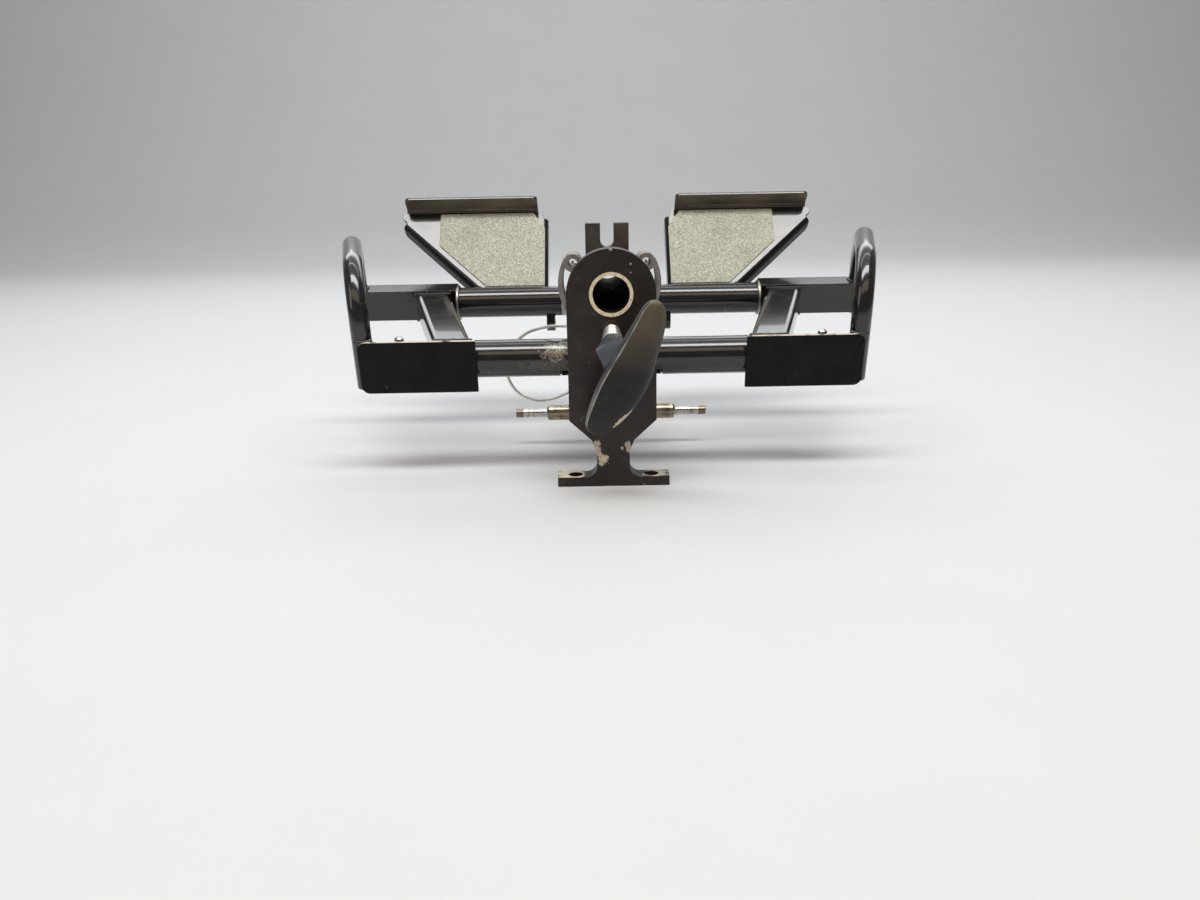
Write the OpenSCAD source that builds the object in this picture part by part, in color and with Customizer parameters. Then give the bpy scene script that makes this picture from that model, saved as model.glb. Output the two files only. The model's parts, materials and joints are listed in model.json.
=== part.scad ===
// Adjustable sled rudder pedals. X is across, Y runs forward from the pilot, Z is up.
// The origin is the middle of the rear foot's bolt holes, on the floor. Sizes are in mm.

/* [Brackets] */
// Height of the sled tube's axis over the floor
axis_z = 118; // [112:1:124]
// Width of the rear plate
plate_w = 53; // [50:1:56]
// Thickness of both bracket plates
plate_t = 13; // [12:0.5:16]
// Width of a bracket foot
foot_w = 69; // [66:1:74]
// Thickness of a bracket foot
foot_t = 6; // [5:0.5:7]
// Distance between the two bolt holes of a foot
foot_hole_gap = 47; // [44:1:50]
// Diameter of a foot's bolt hole
foot_hole_d = 9; // [7:0.5:9]
// Width of the neck over a foot
neck_w = 20; // [18:1:24]
// Width of the fork on the front bracket
fork_w = 33; // [30:1:36]
// Width of the fork's slot
fork_slot = 10.2; // [8:0.2:11]

/* [Sled] */
// Outer diameter of the sled tube
tube_d = 26; // [25:0.5:27]
// Wall of the sled tube
tube_wall = 2; // [1.5:0.25:3]
// Length of the sled housing
sled_len = 80; // [78:1:82]
// Travel of the sled
sled_travel = 70; // [50:5:70]
// Diameter of the pivot axle
axle_d = 14; // [13:0.5:15]
// Diameter of the linkage spindle's barrel
spindle_d = 10.7; // [9:0.1:12]
// Diameter of the linkage spindle's journals
journal_d = 6; // [5:0.5:7]
// Length of one journal
journal_len = 22; // [18:1:24]

/* [Pedals] */
// Outer diameter of a pivot tube
pivot_d = 24; // [23:0.5:25]
// Height of a heel plate
heel_h = 34; // [30:1:36]
// Diameter of the hoop rod
hoop_d = 12.7; // [12:0.1:14]
// Bend radius of the hoop's two corners
hoop_bend = 36; // [30:1:42]
// Height of the hoop's top over the pivot axle
hoop_rise = 57; // [54:1:66]
// Distance from the middle to a hoop's back leg
hoop_out = 183; // [178:1:188]
// Width of a pedal arm
arm_w = 24; // [22:1:26]
// Swing of a pedal in degrees
pedal_swing = 40; // [20:5:40]

/* [Brakes] */
// Outer diameter of a brake tube
brake_tube_d = 22; // [21:0.5:23]
// Diameter of a brake axle
brake_axle_d = 12; // [11:0.5:13]
// Height of a brake plate over its axle
brake_h = 83; // [78:1:88]
// Lean of a brake plate from upright in degrees
brake_lean = 38; // [34:1:40]
// Width of the lip at a brake plate's top
lip_w = 15; // [12:1:18]
// Depth of a brake plate's flanges
flange_w = 11; // [9:1:13]
// Swing of a brake plate in degrees
brake_swing = 25; // [10:5:25]

/* [Handle] */
// Length of the handle's grip
grip_len = 98; // [92:1:104]
// Width of the handle's grip
grip_w = 28; // [26:1:30]
// Diameter of the ferrule
ferrule_d = 9.2; // [8.6:0.1:9.6]
// Diameter of the release cable
cable_d = 2; // [1.6:0.1:2.4]

/* [Hidden] */
$fn = 48;
// Radial room of a running fit
run_fit = 0.05;
// Radial room of a fixed fit
hold_fit = 0.02;
// Room between two faces that meet
face_fit = 0.05;
// Room between faces that pass each other
pass_gap = 0.6;
// Length by which a cutter passes a face
over = 1;
// Side of a cutter wider than a pedal
big = 200;

tube_r = tube_d / 2;
tube_bore_r = tube_r - tube_wall;
plate_half = plate_t / 2;
sled_back = 17;
sled_front = sled_back + sled_len;
travel_room = 3.5;
bracket_gap = sled_front + sled_travel + travel_room + plate_half;
// Height at which a bracket's neck has reached its plate's width
taper_z = 42;
shoulder_drop = 12.5;
flare_drop = 7;
neck_flare = 3;
foot_fillet = 7;
ring_wall = 4.6;
fork_rise = 19;
slot_floor = 1.2;
grub_r = 2.5;
grub_sink = 1.5;
grub_room = 0.3;
tube_back = -plate_half - 0.6;
tube_front = bracket_gap + plate_half + 4;
gland_drop = 20;
gland_z = axis_z - gland_drop;
gland_r = 5;
gland_bore_r = 3;
gland_rim_r = 5.2;
gland_rim_t = 0.5;

sleeve_r = tube_r + 6.5;
bush_r = tube_r + 3;
bush_len = 20;
relief_r = tube_r + 0.8;
web_half = 12;
web_setback = 5;
pivot_y = 38.5;
pivot_z = 73;
axle_r = axle_d / 2;
axle_half = 146;
boss_r = 13;
boss_half = 27;
pin_r = 2;
spindle_y = sled_front - 8.5;
spindle_z = 24;
spindle_r = spindle_d / 2;
journal_r = journal_d / 2;
barrel_half = 45;
spindle_half = barrel_half + journal_len;
spindle_chamfer = 1.2;
spindle_boss_r = 9.5;
spindle_boss_half = 18;
hanger_t = 17;

lock_y = 62;
lock_pitch = 12;
lock_count = ceil(sled_travel / lock_pitch) + 1;
nose_r = 4;
nose_gap = 0.3;
nose_room = 0.3;
collar_r = 6.2;
collar_t = 3;
pocket_r = 6.5;
pocket_top = 88;
lock_boss_r = 9;
lock_bottom = 66;
cap_t = 4;
rod_r = 2.5;
rod_bite = 3;
shoulder_gap = 0.5;
clamp_r = 4;
clamp_t = 8;
clamp_z = 50;
cable_gap = 0.45;
lock_spring_d = 1.2;
lock_spring_turns = 5;

clip_r = 33.4;
clip_t = 3;
clip_back = 54;
clip_len = 24;
clip_top_angle = 29;
eye_r = 5.8;
eye_inset = 0.5;
eye_reach = clip_r - eye_r - eye_inset;
eye_x = eye_reach * cos(clip_top_angle);
eye_z = axis_z + eye_reach * sin(clip_top_angle);
clip_in_r = clip_r - clip_t;
clip_bite = 0.3;
clip_foot_angle = acos((web_half + face_fit + clip_bite) / clip_in_r);
tab_top = axis_z - clip_in_r * sin(acos((web_half + face_fit + clip_t / 2) / clip_in_r));
tab_bottom = 72;
clip_screw_y = 74.5;
clip_screw_z = 79;
clip_screw_r = 2.5;
clip_head_r = 4.2;
clip_head_t = 3;
clip_screw_depth = 8;
hex_r = 2;
hex_sink = 1.4;
wire_r = 0.8;
wire_y = clip_back - 1.4;
hook_in = 8;
hook_out = 2;
hook_bend = 0.6;
hook_run = 2.2;
wire_reach = sleeve_r + wire_r + 0.3;

pedal_tilt = 10;
pivot_r = pivot_d / 2;
pivot_bore_r = axle_r + 3;
pivot_in = boss_half + pass_gap;
dog_len = 5;
dog_angle = 24;
dog_room = 1.6;
bush_in = pivot_in + dog_len + 2;
pivot_bush_len = 20;
outer_bush_x = 108;
screw_x = outer_bush_x + pivot_bush_len + 7;
screw_r = 2.4;
groove_r = axle_r - 1.6;
groove_w = 8;
screw_head_r = 2.9;
screw_head_t = 4;

heel_t = 2.5;
heel_in = 85;
heel_back = -pivot_r - face_fit;
heel_curl = 10;
heel_corner = 5;
hoop_r = hoop_d / 2;
hoop_front = [157.3, heel_back + hoop_r + face_fit];
heel_flat = hoop_front[0];
brake_reach = 103.5;
brake_rise = 5.3;
hoop_back = [hoop_out, brake_reach];
hoop_run = hoop_back - hoop_front;
hoop_span = norm(hoop_run);
hoop_splay = atan2(hoop_run[0], hoop_run[1]);
hoop_foot_front = -heel_h / 2 + 1;
bar_h = brake_axle_d + 10;
bar_t = brake_axle_d + 6;
bar_z = brake_rise + 1;
bar_in = 111;
bar_front = brake_reach - bar_t / 2;
hoop_foot_back = bar_z - bar_h / 2 - 2;
pivot_out = hoop_front[0] - hoop_r - face_fit;
arm_x = 99.4;
arm_z = 0.5;
arm_h = 20;
arm_r = 4;
arm_splay = 16;
arm_climb = 2.6;

brake_y = pivot_y + brake_reach * cos(pedal_tilt) - brake_rise * sin(pedal_tilt);
brake_z = pivot_z + brake_reach * sin(pedal_tilt) + brake_rise * cos(pedal_tilt);
brake_axle_r = brake_axle_d / 2;
brake_tube_r = brake_tube_d / 2;
brake_bore_r = brake_axle_r + 2;
brake_in = 34.6;
washer_t = 1.6;
washer_r = brake_tube_r + 1.6;
brake_out = bar_in - washer_t - 0.2;
brake_axle_in = 31;
brake_axle_out = 138;
collar_in = brake_axle_in;
collar_w = brake_in - collar_in - 0.3;
stop_len = 4;
stop_angle = 24;
stop_room = 1.8;
brake_bush_len = 16;
brake_bush_in = brake_in + stop_len + 2;
brake_bush_out = brake_out - brake_bush_len;
sheet_t = 2;
bend_r = 2.5;
flange_corner = 3.5;
lip_in = 8;
lip_out = 3;
flange_low = 1;
flange_high = 6;
edge_low = 3;
edge_high = 5;
plate_in = 44.5;
plate_out = 156;
corner_drop = 9;
diagonal = 45;
plate_foot = brake_tube_r + face_fit;
diagonal_x = plate_out - (brake_h - corner_drop - plate_foot) / tan(diagonal);
pad_t = 0.9;
pad_edge = 4;
pad_cut = [9, 14];
pad_in = plate_in + 2.5;
pad_out = 127;
pad_top = brake_h - bend_r - 3.5;
pad_foot = plate_foot + 1.5;
lever_x = 39.5;
lever_t = 6.2;
lever_r = 6.5;
lever_eye = 15.5;
lever_eye_r = 2.6;

handle_y = -plate_half - gland_rim_t - 0.4;
handle_yaw = 1;
handle_droop = 26;
handle_roll = 18;
ferrule_len = 13;
ferrule_sink = 8.6;
ferrule_gap = 2.2;
ferrule_r = ferrule_d / 2;
ferrule_flare = 1.6;
neck_reach = 12.5;
neck_out = ferrule_len + neck_reach;
neck_half_w = 10.4;
neck_half_h = 13;
cone_len = ferrule_len - ferrule_gap - face_fit;
grip_reach = 27;
grip_out = ferrule_len + grip_reach;
grip_half = grip_len / 2;
grip_t = 16;

steel = [0.62, 0.63, 0.65];
black = [0.06, 0.06, 0.07];
brown = [0.13, 0.11, 0.1];
tan_plate = [0.72, 0.62, 0.46];
bronze = [0.5, 0.38, 0.25];
grit = [0.36, 0.4, 0.36];

// Round bar or bore along X, between two X values
module rod_x(r, x0, x1) {
    translate([x0, 0, 0])
        rotate([0, 90, 0])
            cylinder(r = r, h = x1 - x0);
}

// Round bar or bore along Y, between two Y values
module rod_y(r, y0, y1) {
    translate([0, y0, 0])
        rotate([-90, 0, 0])
            cylinder(r = r, h = y1 - y0);
}

module ring_x(r_out, r_in, x0, x1) {
    difference() {
        rod_x(r_out, x0, x1);
        rod_x(r_in, x0 - over, x1 + over);
    }
}

module ring_y(r_out, r_in, y0, y1) {
    difference() {
        rod_y(r_out, y0, y1);
        rod_y(r_in, y0 - over, y1 + over);
    }
}

module left() {
    mirror([1, 0, 0])
        children();
}

// Profile drawn in X and Z, made thick along Y about the given middle
module upright(mid_y, thick) {
    translate([0, mid_y, 0])
        rotate([90, 0, 0])
            linear_extrude(height = thick, center = true)
                children();
}

// Frame of a pedal: the pivot axis is X, y runs to the brake axle
module pedal_frame() {
    translate([0, pivot_y, pivot_z])
        rotate([pedal_tilt, 0, 0])
            children();
}

// Frame of a brake: the brake axis is X, z runs up the plate
module brake_frame() {
    translate([0, brake_y, brake_z])
        rotate([-brake_lean, 0, 0])
            children();
}

module handle_frame() {
    translate([0, handle_y, gland_z])
        rotate([0, 0, handle_yaw])
            rotate([handle_droop, 0, 0])
                rotate([0, handle_roll, 0])
                    children();
}

module rounded_square(w, h, r) {
    square([w, h - 2 * r], center = true);
    square([w - 2 * r, h], center = true);
    for (sx = [-1, 1])
        for (sy = [-1, 1])
            translate([sx * (w / 2 - r), sy * (h / 2 - r)])
                circle(r = r);
}

// Slice of a tube's end about X, from angle a0 to a1 measured up from y
module sector_x(r_out, r_in, x0, x1, a0, a1) {
    translate([x0, 0, 0])
        rotate([0, 90, 0])
            rotate([0, 0, 90 + a0])
                rotate_extrude(angle = a1 - a0)
                    translate([r_in, 0])
                        square([r_out - r_in, x1 - x0]);
}

// Spline through a hand-chosen route
function pull(p, i) = p[max(0, min(len(p) - 1, i))];
function spline_at(a, b, c, d, t) =
    0.5 * (2 * b + (c - a) * t + (2 * a - 5 * b + 4 * c - d) * t * t
    + (3 * b - a - 3 * c + d) * t * t * t);
function spline(p, steps) = concat(
    [for (i = [0:len(p) - 2]) for (k = [0:steps - 1])
        spline_at(pull(p, i - 1), p[i], p[i + 1], pull(p, i + 2), k / steps)],
    [p[len(p) - 1]]
);
function unit(v) = v / norm(v);
function heading(p, i) = unit(pull(p, i + 1) - pull(p, i - 1));
function ring_at(p, i, r, sides, aim) =
    let (t = heading(p, i))
    let (u = unit(cross(aim, t)))
    let (v = cross(t, u))
    [for (j = [0:sides - 1])
        p[i] + r * cos(360 * j / sides) * u + r * sin(360 * j / sides) * v];

module wire_along(p, r, sides, aim) {
    last = len(p) - 1;
    points = [for (i = [0:last]) each ring_at(p, i, r, sides, aim)];
    faces = concat(
        [[for (j = [0:sides - 1]) j]],
        [for (i = [0:last - 1]) for (j = [0:sides - 1])
            [i * sides + j, (i + 1) * sides + j, (i + 1) * sides + (j + 1) % sides]],
        [for (i = [0:last - 1]) for (j = [0:sides - 1])
            [i * sides + j, (i + 1) * sides + (j + 1) % sides, i * sides + (j + 1) % sides]],
        [[for (j = [0:sides - 1]) last * sides + sides - 1 - j]]
    );
    polyhedron(points = points, faces = faces);
}

// Neck and foot shared by both brackets, in X and Z
module foot_profile(top_half, top_z) {
    shoulder = top_z - shoulder_drop;
    translate([-foot_w / 2, 0])
        square([foot_w, foot_t]);
    polygon([
        [-neck_w / 2, foot_t - over], [neck_w / 2, foot_t - over], [neck_w / 2, shoulder - flare_drop],
        [neck_w / 2 + neck_flare, shoulder], [top_half, top_z], [-top_half, top_z],
        [-neck_w / 2 - neck_flare, shoulder], [-neck_w / 2, shoulder - flare_drop]
    ]);
    for (s = [-1, 1])
        difference() {
            translate([s * (neck_w + foot_fillet - over) / 2, foot_t + (foot_fillet - over) / 2])
                square([foot_fillet + over, foot_fillet + over], center = true);
            translate([s * (neck_w / 2 + foot_fillet), foot_t + foot_fillet])
                circle(r = foot_fillet);
        }
}

module foot_holes(mid_y) {
    for (s = [-1, 1])
        translate([s * foot_hole_gap / 2, mid_y, -over])
            cylinder(d = foot_hole_d, h = foot_t + 2 * over);
}

module rear_bracket() {
    half = plate_w / 2;
    color(brown)
        difference() {
            upright(0, plate_t) {
                translate([0, axis_z])
                    circle(r = half);
                translate([-half, taper_z])
                    square([plate_w, axis_z - taper_z]);
                foot_profile(half, taper_z);
            }
            translate([0, 0, axis_z])
                rod_y(tube_r + hold_fit, -plate_t, plate_t);
            translate([0, 0, gland_z])
                rod_y(gland_r + hold_fit, -plate_t, plate_t);
            foot_holes(0);
            translate([0, 0, axis_z])
                rod_x(grub_r + hold_fit, tube_r - over, half + over);
        }
}

module front_bracket() {
    ring = tube_r + ring_wall;
    fork_top = axis_z + tube_r + fork_rise;
    slot_z = axis_z + tube_r + slot_floor + fork_slot / 2;
    color(brown)
        difference() {
            upright(bracket_gap, plate_t) {
                translate([0, axis_z])
                    circle(r = ring);
                translate([-fork_w / 2, taper_z])
                    square([fork_w, fork_top - taper_z]);
                foot_profile(fork_w / 2, taper_z);
            }
            upright(bracket_gap, plate_t + 2 * over) {
                translate([0, slot_z])
                    circle(d = fork_slot);
                translate([-fork_slot / 2, slot_z])
                    square([fork_slot, fork_top]);
            }
            translate([0, 0, axis_z])
                rod_y(tube_r + hold_fit, bracket_gap - plate_t, bracket_gap + plate_t);
            foot_holes(bracket_gap);
            translate([0, bracket_gap, axis_z])
                rod_x(grub_r + hold_fit, tube_r - over, ring + over);
        }
}

module sled_tube() {
    color(brown)
        difference() {
            translate([0, 0, axis_z])
                ring_y(tube_r, tube_bore_r, tube_back, tube_front);
            for (i = [0:lock_count - 1])
                translate([0, lock_y + lock_pitch * (i - 0.5), axis_z - tube_r - over])
                    cylinder(r = nose_r + nose_room, h = tube_wall + 2 * over);
        }
}

// Grub screws that hold the tube in the two brackets
module tube_grub_screws() {
    color(steel) {
        translate([0, 0, axis_z])
            rod_x(grub_r, tube_r + grub_room, plate_w / 2 - grub_sink);
        translate([0, bracket_gap, axis_z])
            rod_x(grub_r, tube_r + grub_room, tube_r + ring_wall - grub_sink);
    }
}

module cable_gland() {
    color(bronze)
        translate([0, 0, gland_z]) {
            ring_y(gland_r, gland_bore_r, -plate_half, plate_half);
            ring_y(gland_rim_r, gland_bore_r, -plate_half - gland_rim_t, -plate_half);
        }
}

// Slack release cable, from the ferrule through the gland to the cable clamp
module release_cable() {
    route = [
        [0, handle_y - 2, gland_z], [0, handle_y + 7, gland_z], [-3, 10.5, gland_z - 0.3],
        [-14, 14, gland_z - 2], [-28, 26, gland_z - 3], [-40, 44, gland_z - 6],
        [-55, 57, 86], [-67, 59, 75], [-70.5, 60, 63], [-65, 60, 48], [-52, 61, 40],
        [-38, 61, 41], [-24, 62, 47], [-13, 62, 51.5], [-clamp_r - cable_gap, lock_y, clamp_z + 4]
    ];
    color(steel)
        wire_along(spline(route, 5), cable_d / 2, 8, [0.6, 0.6, 0.53]);
}

module sled_housing() {
    color(black)
        difference() {
            union() {
                translate([0, 0, axis_z])
                    rod_y(sleeve_r, sled_back, sled_front);
                translate([-web_half, sled_back + web_setback, pivot_z])
                    cube([2 * web_half, sled_len - web_setback, axis_z - tube_r - pivot_z]);
                translate([0, pivot_y, pivot_z])
                    rod_x(boss_r, -boss_half, boss_half);
                translate([-web_half, sled_front - hanger_t, spindle_z])
                    cube([2 * web_half, hanger_t, pivot_z - spindle_z + over]);
                translate([0, spindle_y, spindle_z])
                    rod_x(spindle_boss_r, -spindle_boss_half, spindle_boss_half);
                translate([0, lock_y, lock_bottom])
                    cylinder(r = lock_boss_r, h = pivot_z - lock_bottom + over);
                pedal_stop();
                left()
                    pedal_stop();
            }
            translate([0, 0, axis_z]) {
                rod_y(relief_r, sled_back - over, sled_front + over);
                rod_y(bush_r + hold_fit, sled_back - over, sled_back + bush_len);
                rod_y(bush_r + hold_fit, sled_front - bush_len, sled_front + over);
            }
            translate([0, pivot_y, pivot_z])
                rod_x(axle_r + hold_fit, -boss_half - over, boss_half + over);
            translate([0, spindle_y, spindle_z])
                rod_x(spindle_r + hold_fit, -spindle_boss_half - over, spindle_boss_half + over);
            translate([0, lock_y, lock_bottom - over]) {
                cylinder(r = pocket_r, h = pocket_top - lock_bottom + over);
                cylinder(r = nose_r + run_fit, h = axis_z - lock_bottom);
            }
            translate([0, pivot_y, pivot_z - boss_r - over])
                cylinder(r = pin_r + hold_fit, h = 2 * boss_r);
            for (s = [-1, 1])
                translate([0, clip_screw_y, clip_screw_z])
                    rod_x(clip_screw_r + hold_fit, s < 0 ? -web_half - over : web_half - clip_screw_depth,
                        s < 0 ? -web_half + clip_screw_depth : web_half + over);
        }
}

// Tooth on the boss that a pivot tube's notch swings about
module pedal_stop() {
    translate([0, pivot_y, pivot_z])
        sector_x(pivot_r - 0.3, pivot_bore_r + 0.3, boss_half - over, boss_half + pass_gap + dog_len - 0.6,
            -90 - dog_angle / 2, -90 + dog_angle / 2);
}

module slide_bush(y0, y1) {
    color([0.2, 0.2, 0.19])
        translate([0, 0, axis_z])
            ring_y(bush_r, tube_r + run_fit, y0, y1);
}

module rear_slide_bush() {
    slide_bush(sled_back, sled_back + bush_len);
}

module front_slide_bush() {
    slide_bush(sled_front - bush_len, sled_front);
}

module pivot_axle() {
    color(steel)
        difference() {
            translate([0, pivot_y, pivot_z])
                rod_x(axle_r, -axle_half, axle_half);
            for (s = [-1, 1])
                translate([s * screw_x, pivot_y, pivot_z])
                    ring_x(axle_r + over, groove_r, -groove_w / 2, groove_w / 2);
            translate([0, pivot_y, pivot_z - boss_r - over])
                cylinder(r = pin_r + hold_fit, h = 2 * boss_r);
        }
}

module axle_cross_pin() {
    color(steel)
        translate([0, pivot_y, pivot_z - boss_r + 0.5])
            cylinder(r = pin_r, h = 2 * boss_r - 3);
}

// Spindle that the aircraft's rudder linkage takes hold of
module linkage_spindle() {
    color(bronze)
        translate([0, spindle_y, spindle_z]) {
            rod_x(spindle_r, -barrel_half + spindle_chamfer, barrel_half - spindle_chamfer);
            rod_x(journal_r, -spindle_half, spindle_half);
            for (s = [-1, 1])
                translate([s * (barrel_half - spindle_chamfer), 0, 0])
                    rotate([0, s * 90, 0])
                        cylinder(r1 = spindle_r, r2 = spindle_r - spindle_chamfer, h = spindle_chamfer);
        }
}

// Curved leaf with a rolled eye at its top and a tab at its foot, in X and height from the tube's axis
module clip_profile() {
    far = 3 * clip_r;
    eye = eye_reach * [cos(clip_top_angle), sin(clip_top_angle)];
    turns = [clip_top_angle, (clip_top_angle - clip_foot_angle) / 2, -clip_foot_angle];
    difference() {
        union() {
            intersection() {
                difference() {
                    circle(r = clip_r);
                    circle(r = clip_in_r);
                }
                polygon(concat([[0, 0]], [for (a = turns) far * [cos(a), sin(a)]]));
            }
            translate(eye)
                circle(r = eye_r);
            translate([web_half + face_fit, tab_bottom - axis_z])
                square([clip_t, tab_top - tab_bottom]);
        }
        translate(eye)
            circle(r = eye_r - clip_t);
    }
}

module spring_clip() {
    color(tan_plate)
        difference() {
            translate([0, 0, axis_z])
                upright(clip_back + clip_len / 2, clip_len)
                    clip_profile();
            translate([0, clip_screw_y, clip_screw_z])
                rod_x(clip_screw_r + 0.2, web_half - over, web_half + 2 * clip_t + over);
        }
}

module spring_clip_left() {
    left()
        spring_clip();
}

module spring_clip_right() {
    spring_clip();
}

module clip_screw() {
    head = web_half + face_fit + clip_t + face_fit;
    translate([0, clip_screw_y, clip_screw_z]) {
        rod_x(clip_screw_r, web_half - clip_screw_depth + 0.4, head + over);
        difference() {
            rod_x(clip_head_r, head, head + clip_head_t);
            translate([head + hex_sink, 0, 0])
                rotate([0, 90, 0])
                    cylinder(r = hex_r, h = clip_head_t, $fn = 6);
        }
    }
}

module clip_screws() {
    color(steel) {
        clip_screw();
        left()
            clip_screw();
    }
}

// Wire from eye to eye over the sleeve
module retaining_wire() {
    turn = 42;
    arc = [for (a = [turn:8:180 - turn])
        [wire_reach * cos(a), wire_y, axis_z + wire_reach * sin(a)]];
    hook = [[eye_x, clip_back + hook_in, eye_z], [eye_x, clip_back + hook_out, eye_z],
        [eye_x - hook_bend, wire_y + hook_bend, eye_z], [eye_x - hook_run, wire_y, eye_z]];
    far = [for (i = [3:-1:0]) [-hook[i][0], hook[i][1], hook[i][2]]];
    color(steel)
        wire_along(concat(hook, arc, far), wire_r, 8, [0.35, 0.75, 0.55]);
}

module plunger_spring() {
    low = lock_bottom + cap_t + lock_spring_d / 2 + 0.2;
    high = pocket_top - collar_t - lock_spring_d / 2 - 0.8;
    steps = lock_spring_turns * 14;
    coil = collar_r - lock_spring_d;
    color(steel)
        wire_along([for (i = [0:steps])
            [coil * cos(360 * i / 14), lock_y + coil * sin(360 * i / 14), low + (high - low) * i / steps]],
            lock_spring_d / 2, 6, [0, 0, 1]);
}

module plunger_cap() {
    color(steel)
        translate([0, lock_y, lock_bottom])
            difference() {
                cylinder(r = pocket_r - hold_fit, h = cap_t);
                translate([0, 0, -over])
                    cylinder(r = rod_r + run_fit, h = cap_t + 2 * over);
            }
}

module lock_plunger() {
    nose_top = axis_z - tube_r - nose_gap;
    shoulder = pocket_top - shoulder_gap;
    color(steel)
        translate([0, lock_y, 0]) {
            translate([0, 0, shoulder - over])
                cylinder(r = nose_r, h = nose_top - shoulder + over);
            translate([0, 0, shoulder - collar_t])
                cylinder(r = collar_r, h = collar_t);
            translate([0, 0, clamp_z + clamp_t - rod_bite])
                cylinder(r = rod_r, h = shoulder - clamp_z - clamp_t + rod_bite);
        }
}

module cable_clamp() {
    color(steel)
        translate([0, lock_y, clamp_z])
            difference() {
                cylinder(r = clamp_r, h = clamp_t);
                translate([0, 0, clamp_t - rod_bite - face_fit])
                    cylinder(r = rod_r + hold_fit, h = rod_bite + over);
            }
}

// Ellipsoid in the handle's frame, by shares of the grip's half length, width and thickness
module grip_blob(along, beside, half_w, half_t) {
    translate([beside * grip_w, -grip_out, along * grip_half])
        scale([half_w * grip_w, half_t * grip_t, half_w * grip_w])
            sphere(r = 1, $fn = 28);
}

// Widest, four-sided place of the handle's neck
module neck_diamond() {
    translate([0, -neck_out, 0])
        rotate([90, 0, 0])
            scale([neck_half_w, neck_half_h, 1])
                cylinder(r = 1, h = 1, center = true, $fn = 4);
}

module handle_grip() {
    color(black)
        handle_frame()
            difference() {
                union() {
                    hull() {
                        grip_blob(0.86, 0.3, 0.26, 0.36);
                        grip_blob(0.42, 0.32, 0.38, 0.5);
                        grip_blob(-0.18, 0.29, 0.5, 0.5);
                        grip_blob(-0.77, 0.17, 0.355, 0.38);
                    }
                    hull() {
                        rod_y(ferrule_r + ferrule_flare, -ferrule_len - 3, -ferrule_len);
                        neck_diamond();
                    }
                    hull() {
                        neck_diamond();
                        grip_blob(-0.06, 0.29, 0.36, 0.3);
                    }
                }
                rod_y(ferrule_r + hold_fit, -ferrule_len - ferrule_sink - 0.4, over);
            }
}

module handle_ferrule() {
    color(steel)
        handle_frame()
            difference() {
                union() {
                    rod_y(ferrule_r, -ferrule_len - ferrule_sink, -ferrule_gap);
                    translate([0, -ferrule_gap, 0])
                        rotate([90, 0, 0])
                            cylinder(r1 = ferrule_r, r2 = ferrule_r + ferrule_flare, h = cone_len);
                }
                rod_y(cable_d / 2 + 0.15, -ferrule_len - 4, over);
            }
}

module pivot_tube() {
    color(black)
        translate([0, pivot_y, pivot_z])
            difference() {
                ring_x(pivot_r, pivot_bore_r, pivot_in, pivot_out);
                sector_x(pivot_r + over, pivot_bore_r - over, pivot_in - over, pivot_in + dog_len,
                    -90 - dog_angle / 2 - dog_room - pedal_swing, -90 + dog_angle / 2 + dog_room);
                rotate([pedal_tilt, 0, 0])
                    translate([screw_x, 0, 0])
                        cylinder(r = screw_r + hold_fit, h = pivot_r + over);
            }
}

module pivot_tube_left() {
    left()
        pivot_tube();
}

module pivot_tube_right() {
    pivot_tube();
}

// Heel plate in front of the pivot tube, curled about the hoop's front leg
module heel_plate() {
    curl_in = hoop_front[1] - heel_back;
    heel_end = heel_flat + (curl_in + heel_t) * sin(heel_curl);
    end_w = 40;
    color(black)
        pedal_frame()
            intersection() {
                union() {
                    translate([heel_in, heel_back - heel_t, -heel_h / 2])
                        cube([heel_flat - heel_in, heel_t, heel_h]);
                    translate([heel_flat, hoop_front[1], -heel_h / 2])
                        rotate([0, 0, -90])
                            rotate_extrude(angle = heel_curl)
                                translate([curl_in, 0])
                                    square([heel_t, heel_h]);
                }
                translate([heel_end - end_w / 2, heel_back, 0])
                    rotate([90, 0, 0])
                        linear_extrude(height = end_w, center = true) {
                            rounded_square(end_w, heel_h, heel_corner);
                            translate([heel_in - heel_end, -heel_h / 2])
                                square([heel_end - heel_in, heel_h]);
                        }
            }
}

module heel_plate_left() {
    left()
        heel_plate();
}

module heel_plate_right() {
    heel_plate();
}

// Bent rod at the pedal's outer side
module hoop() {
    leg_top = hoop_rise - hoop_bend;
    far = hoop_span - hoop_bend;
    front_leg = [[0, 0, hoop_foot_front]];
    front_bend = [for (a = [180:-7.5:90])
        [0, hoop_bend + hoop_bend * cos(a), leg_top + hoop_bend * sin(a)]];
    back_bend = [for (a = [90:-7.5:0])
        [0, far + hoop_bend * cos(a), leg_top + hoop_bend * sin(a)]];
    back_leg = [[0, hoop_span, hoop_foot_back]];
    color(black)
        pedal_frame()
            translate([hoop_front[0], hoop_front[1], 0])
                rotate([0, 0, -hoop_splay])
                    wire_along(concat(front_leg, front_bend, back_bend, back_leg), hoop_r, 24, [1, 0, 0]);
}

module hoop_left() {
    left()
        hoop();
}

module hoop_right() {
    hoop();
}

// Flat arm from the pivot tube to the back bar
module arm() {
    color(black)
        pedal_frame()
            difference() {
                translate([arm_x, -4, arm_z])
                    rotate([0, 0, -arm_splay])
                        rotate([arm_climb, 0, 0])
                            rotate([-90, 0, 0])
                                linear_extrude(height = big)
                                    rounded_square(arm_w, arm_h, arm_r);
                rod_x(pivot_r + face_fit, 0, big);
                translate([0, -big, -big / 2])
                    cube(big);
                translate([0, bar_front - face_fit, -big / 2])
                    cube(big);
            }
}

module arm_left() {
    left()
        arm();
}

module arm_right() {
    arm();
}

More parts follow.
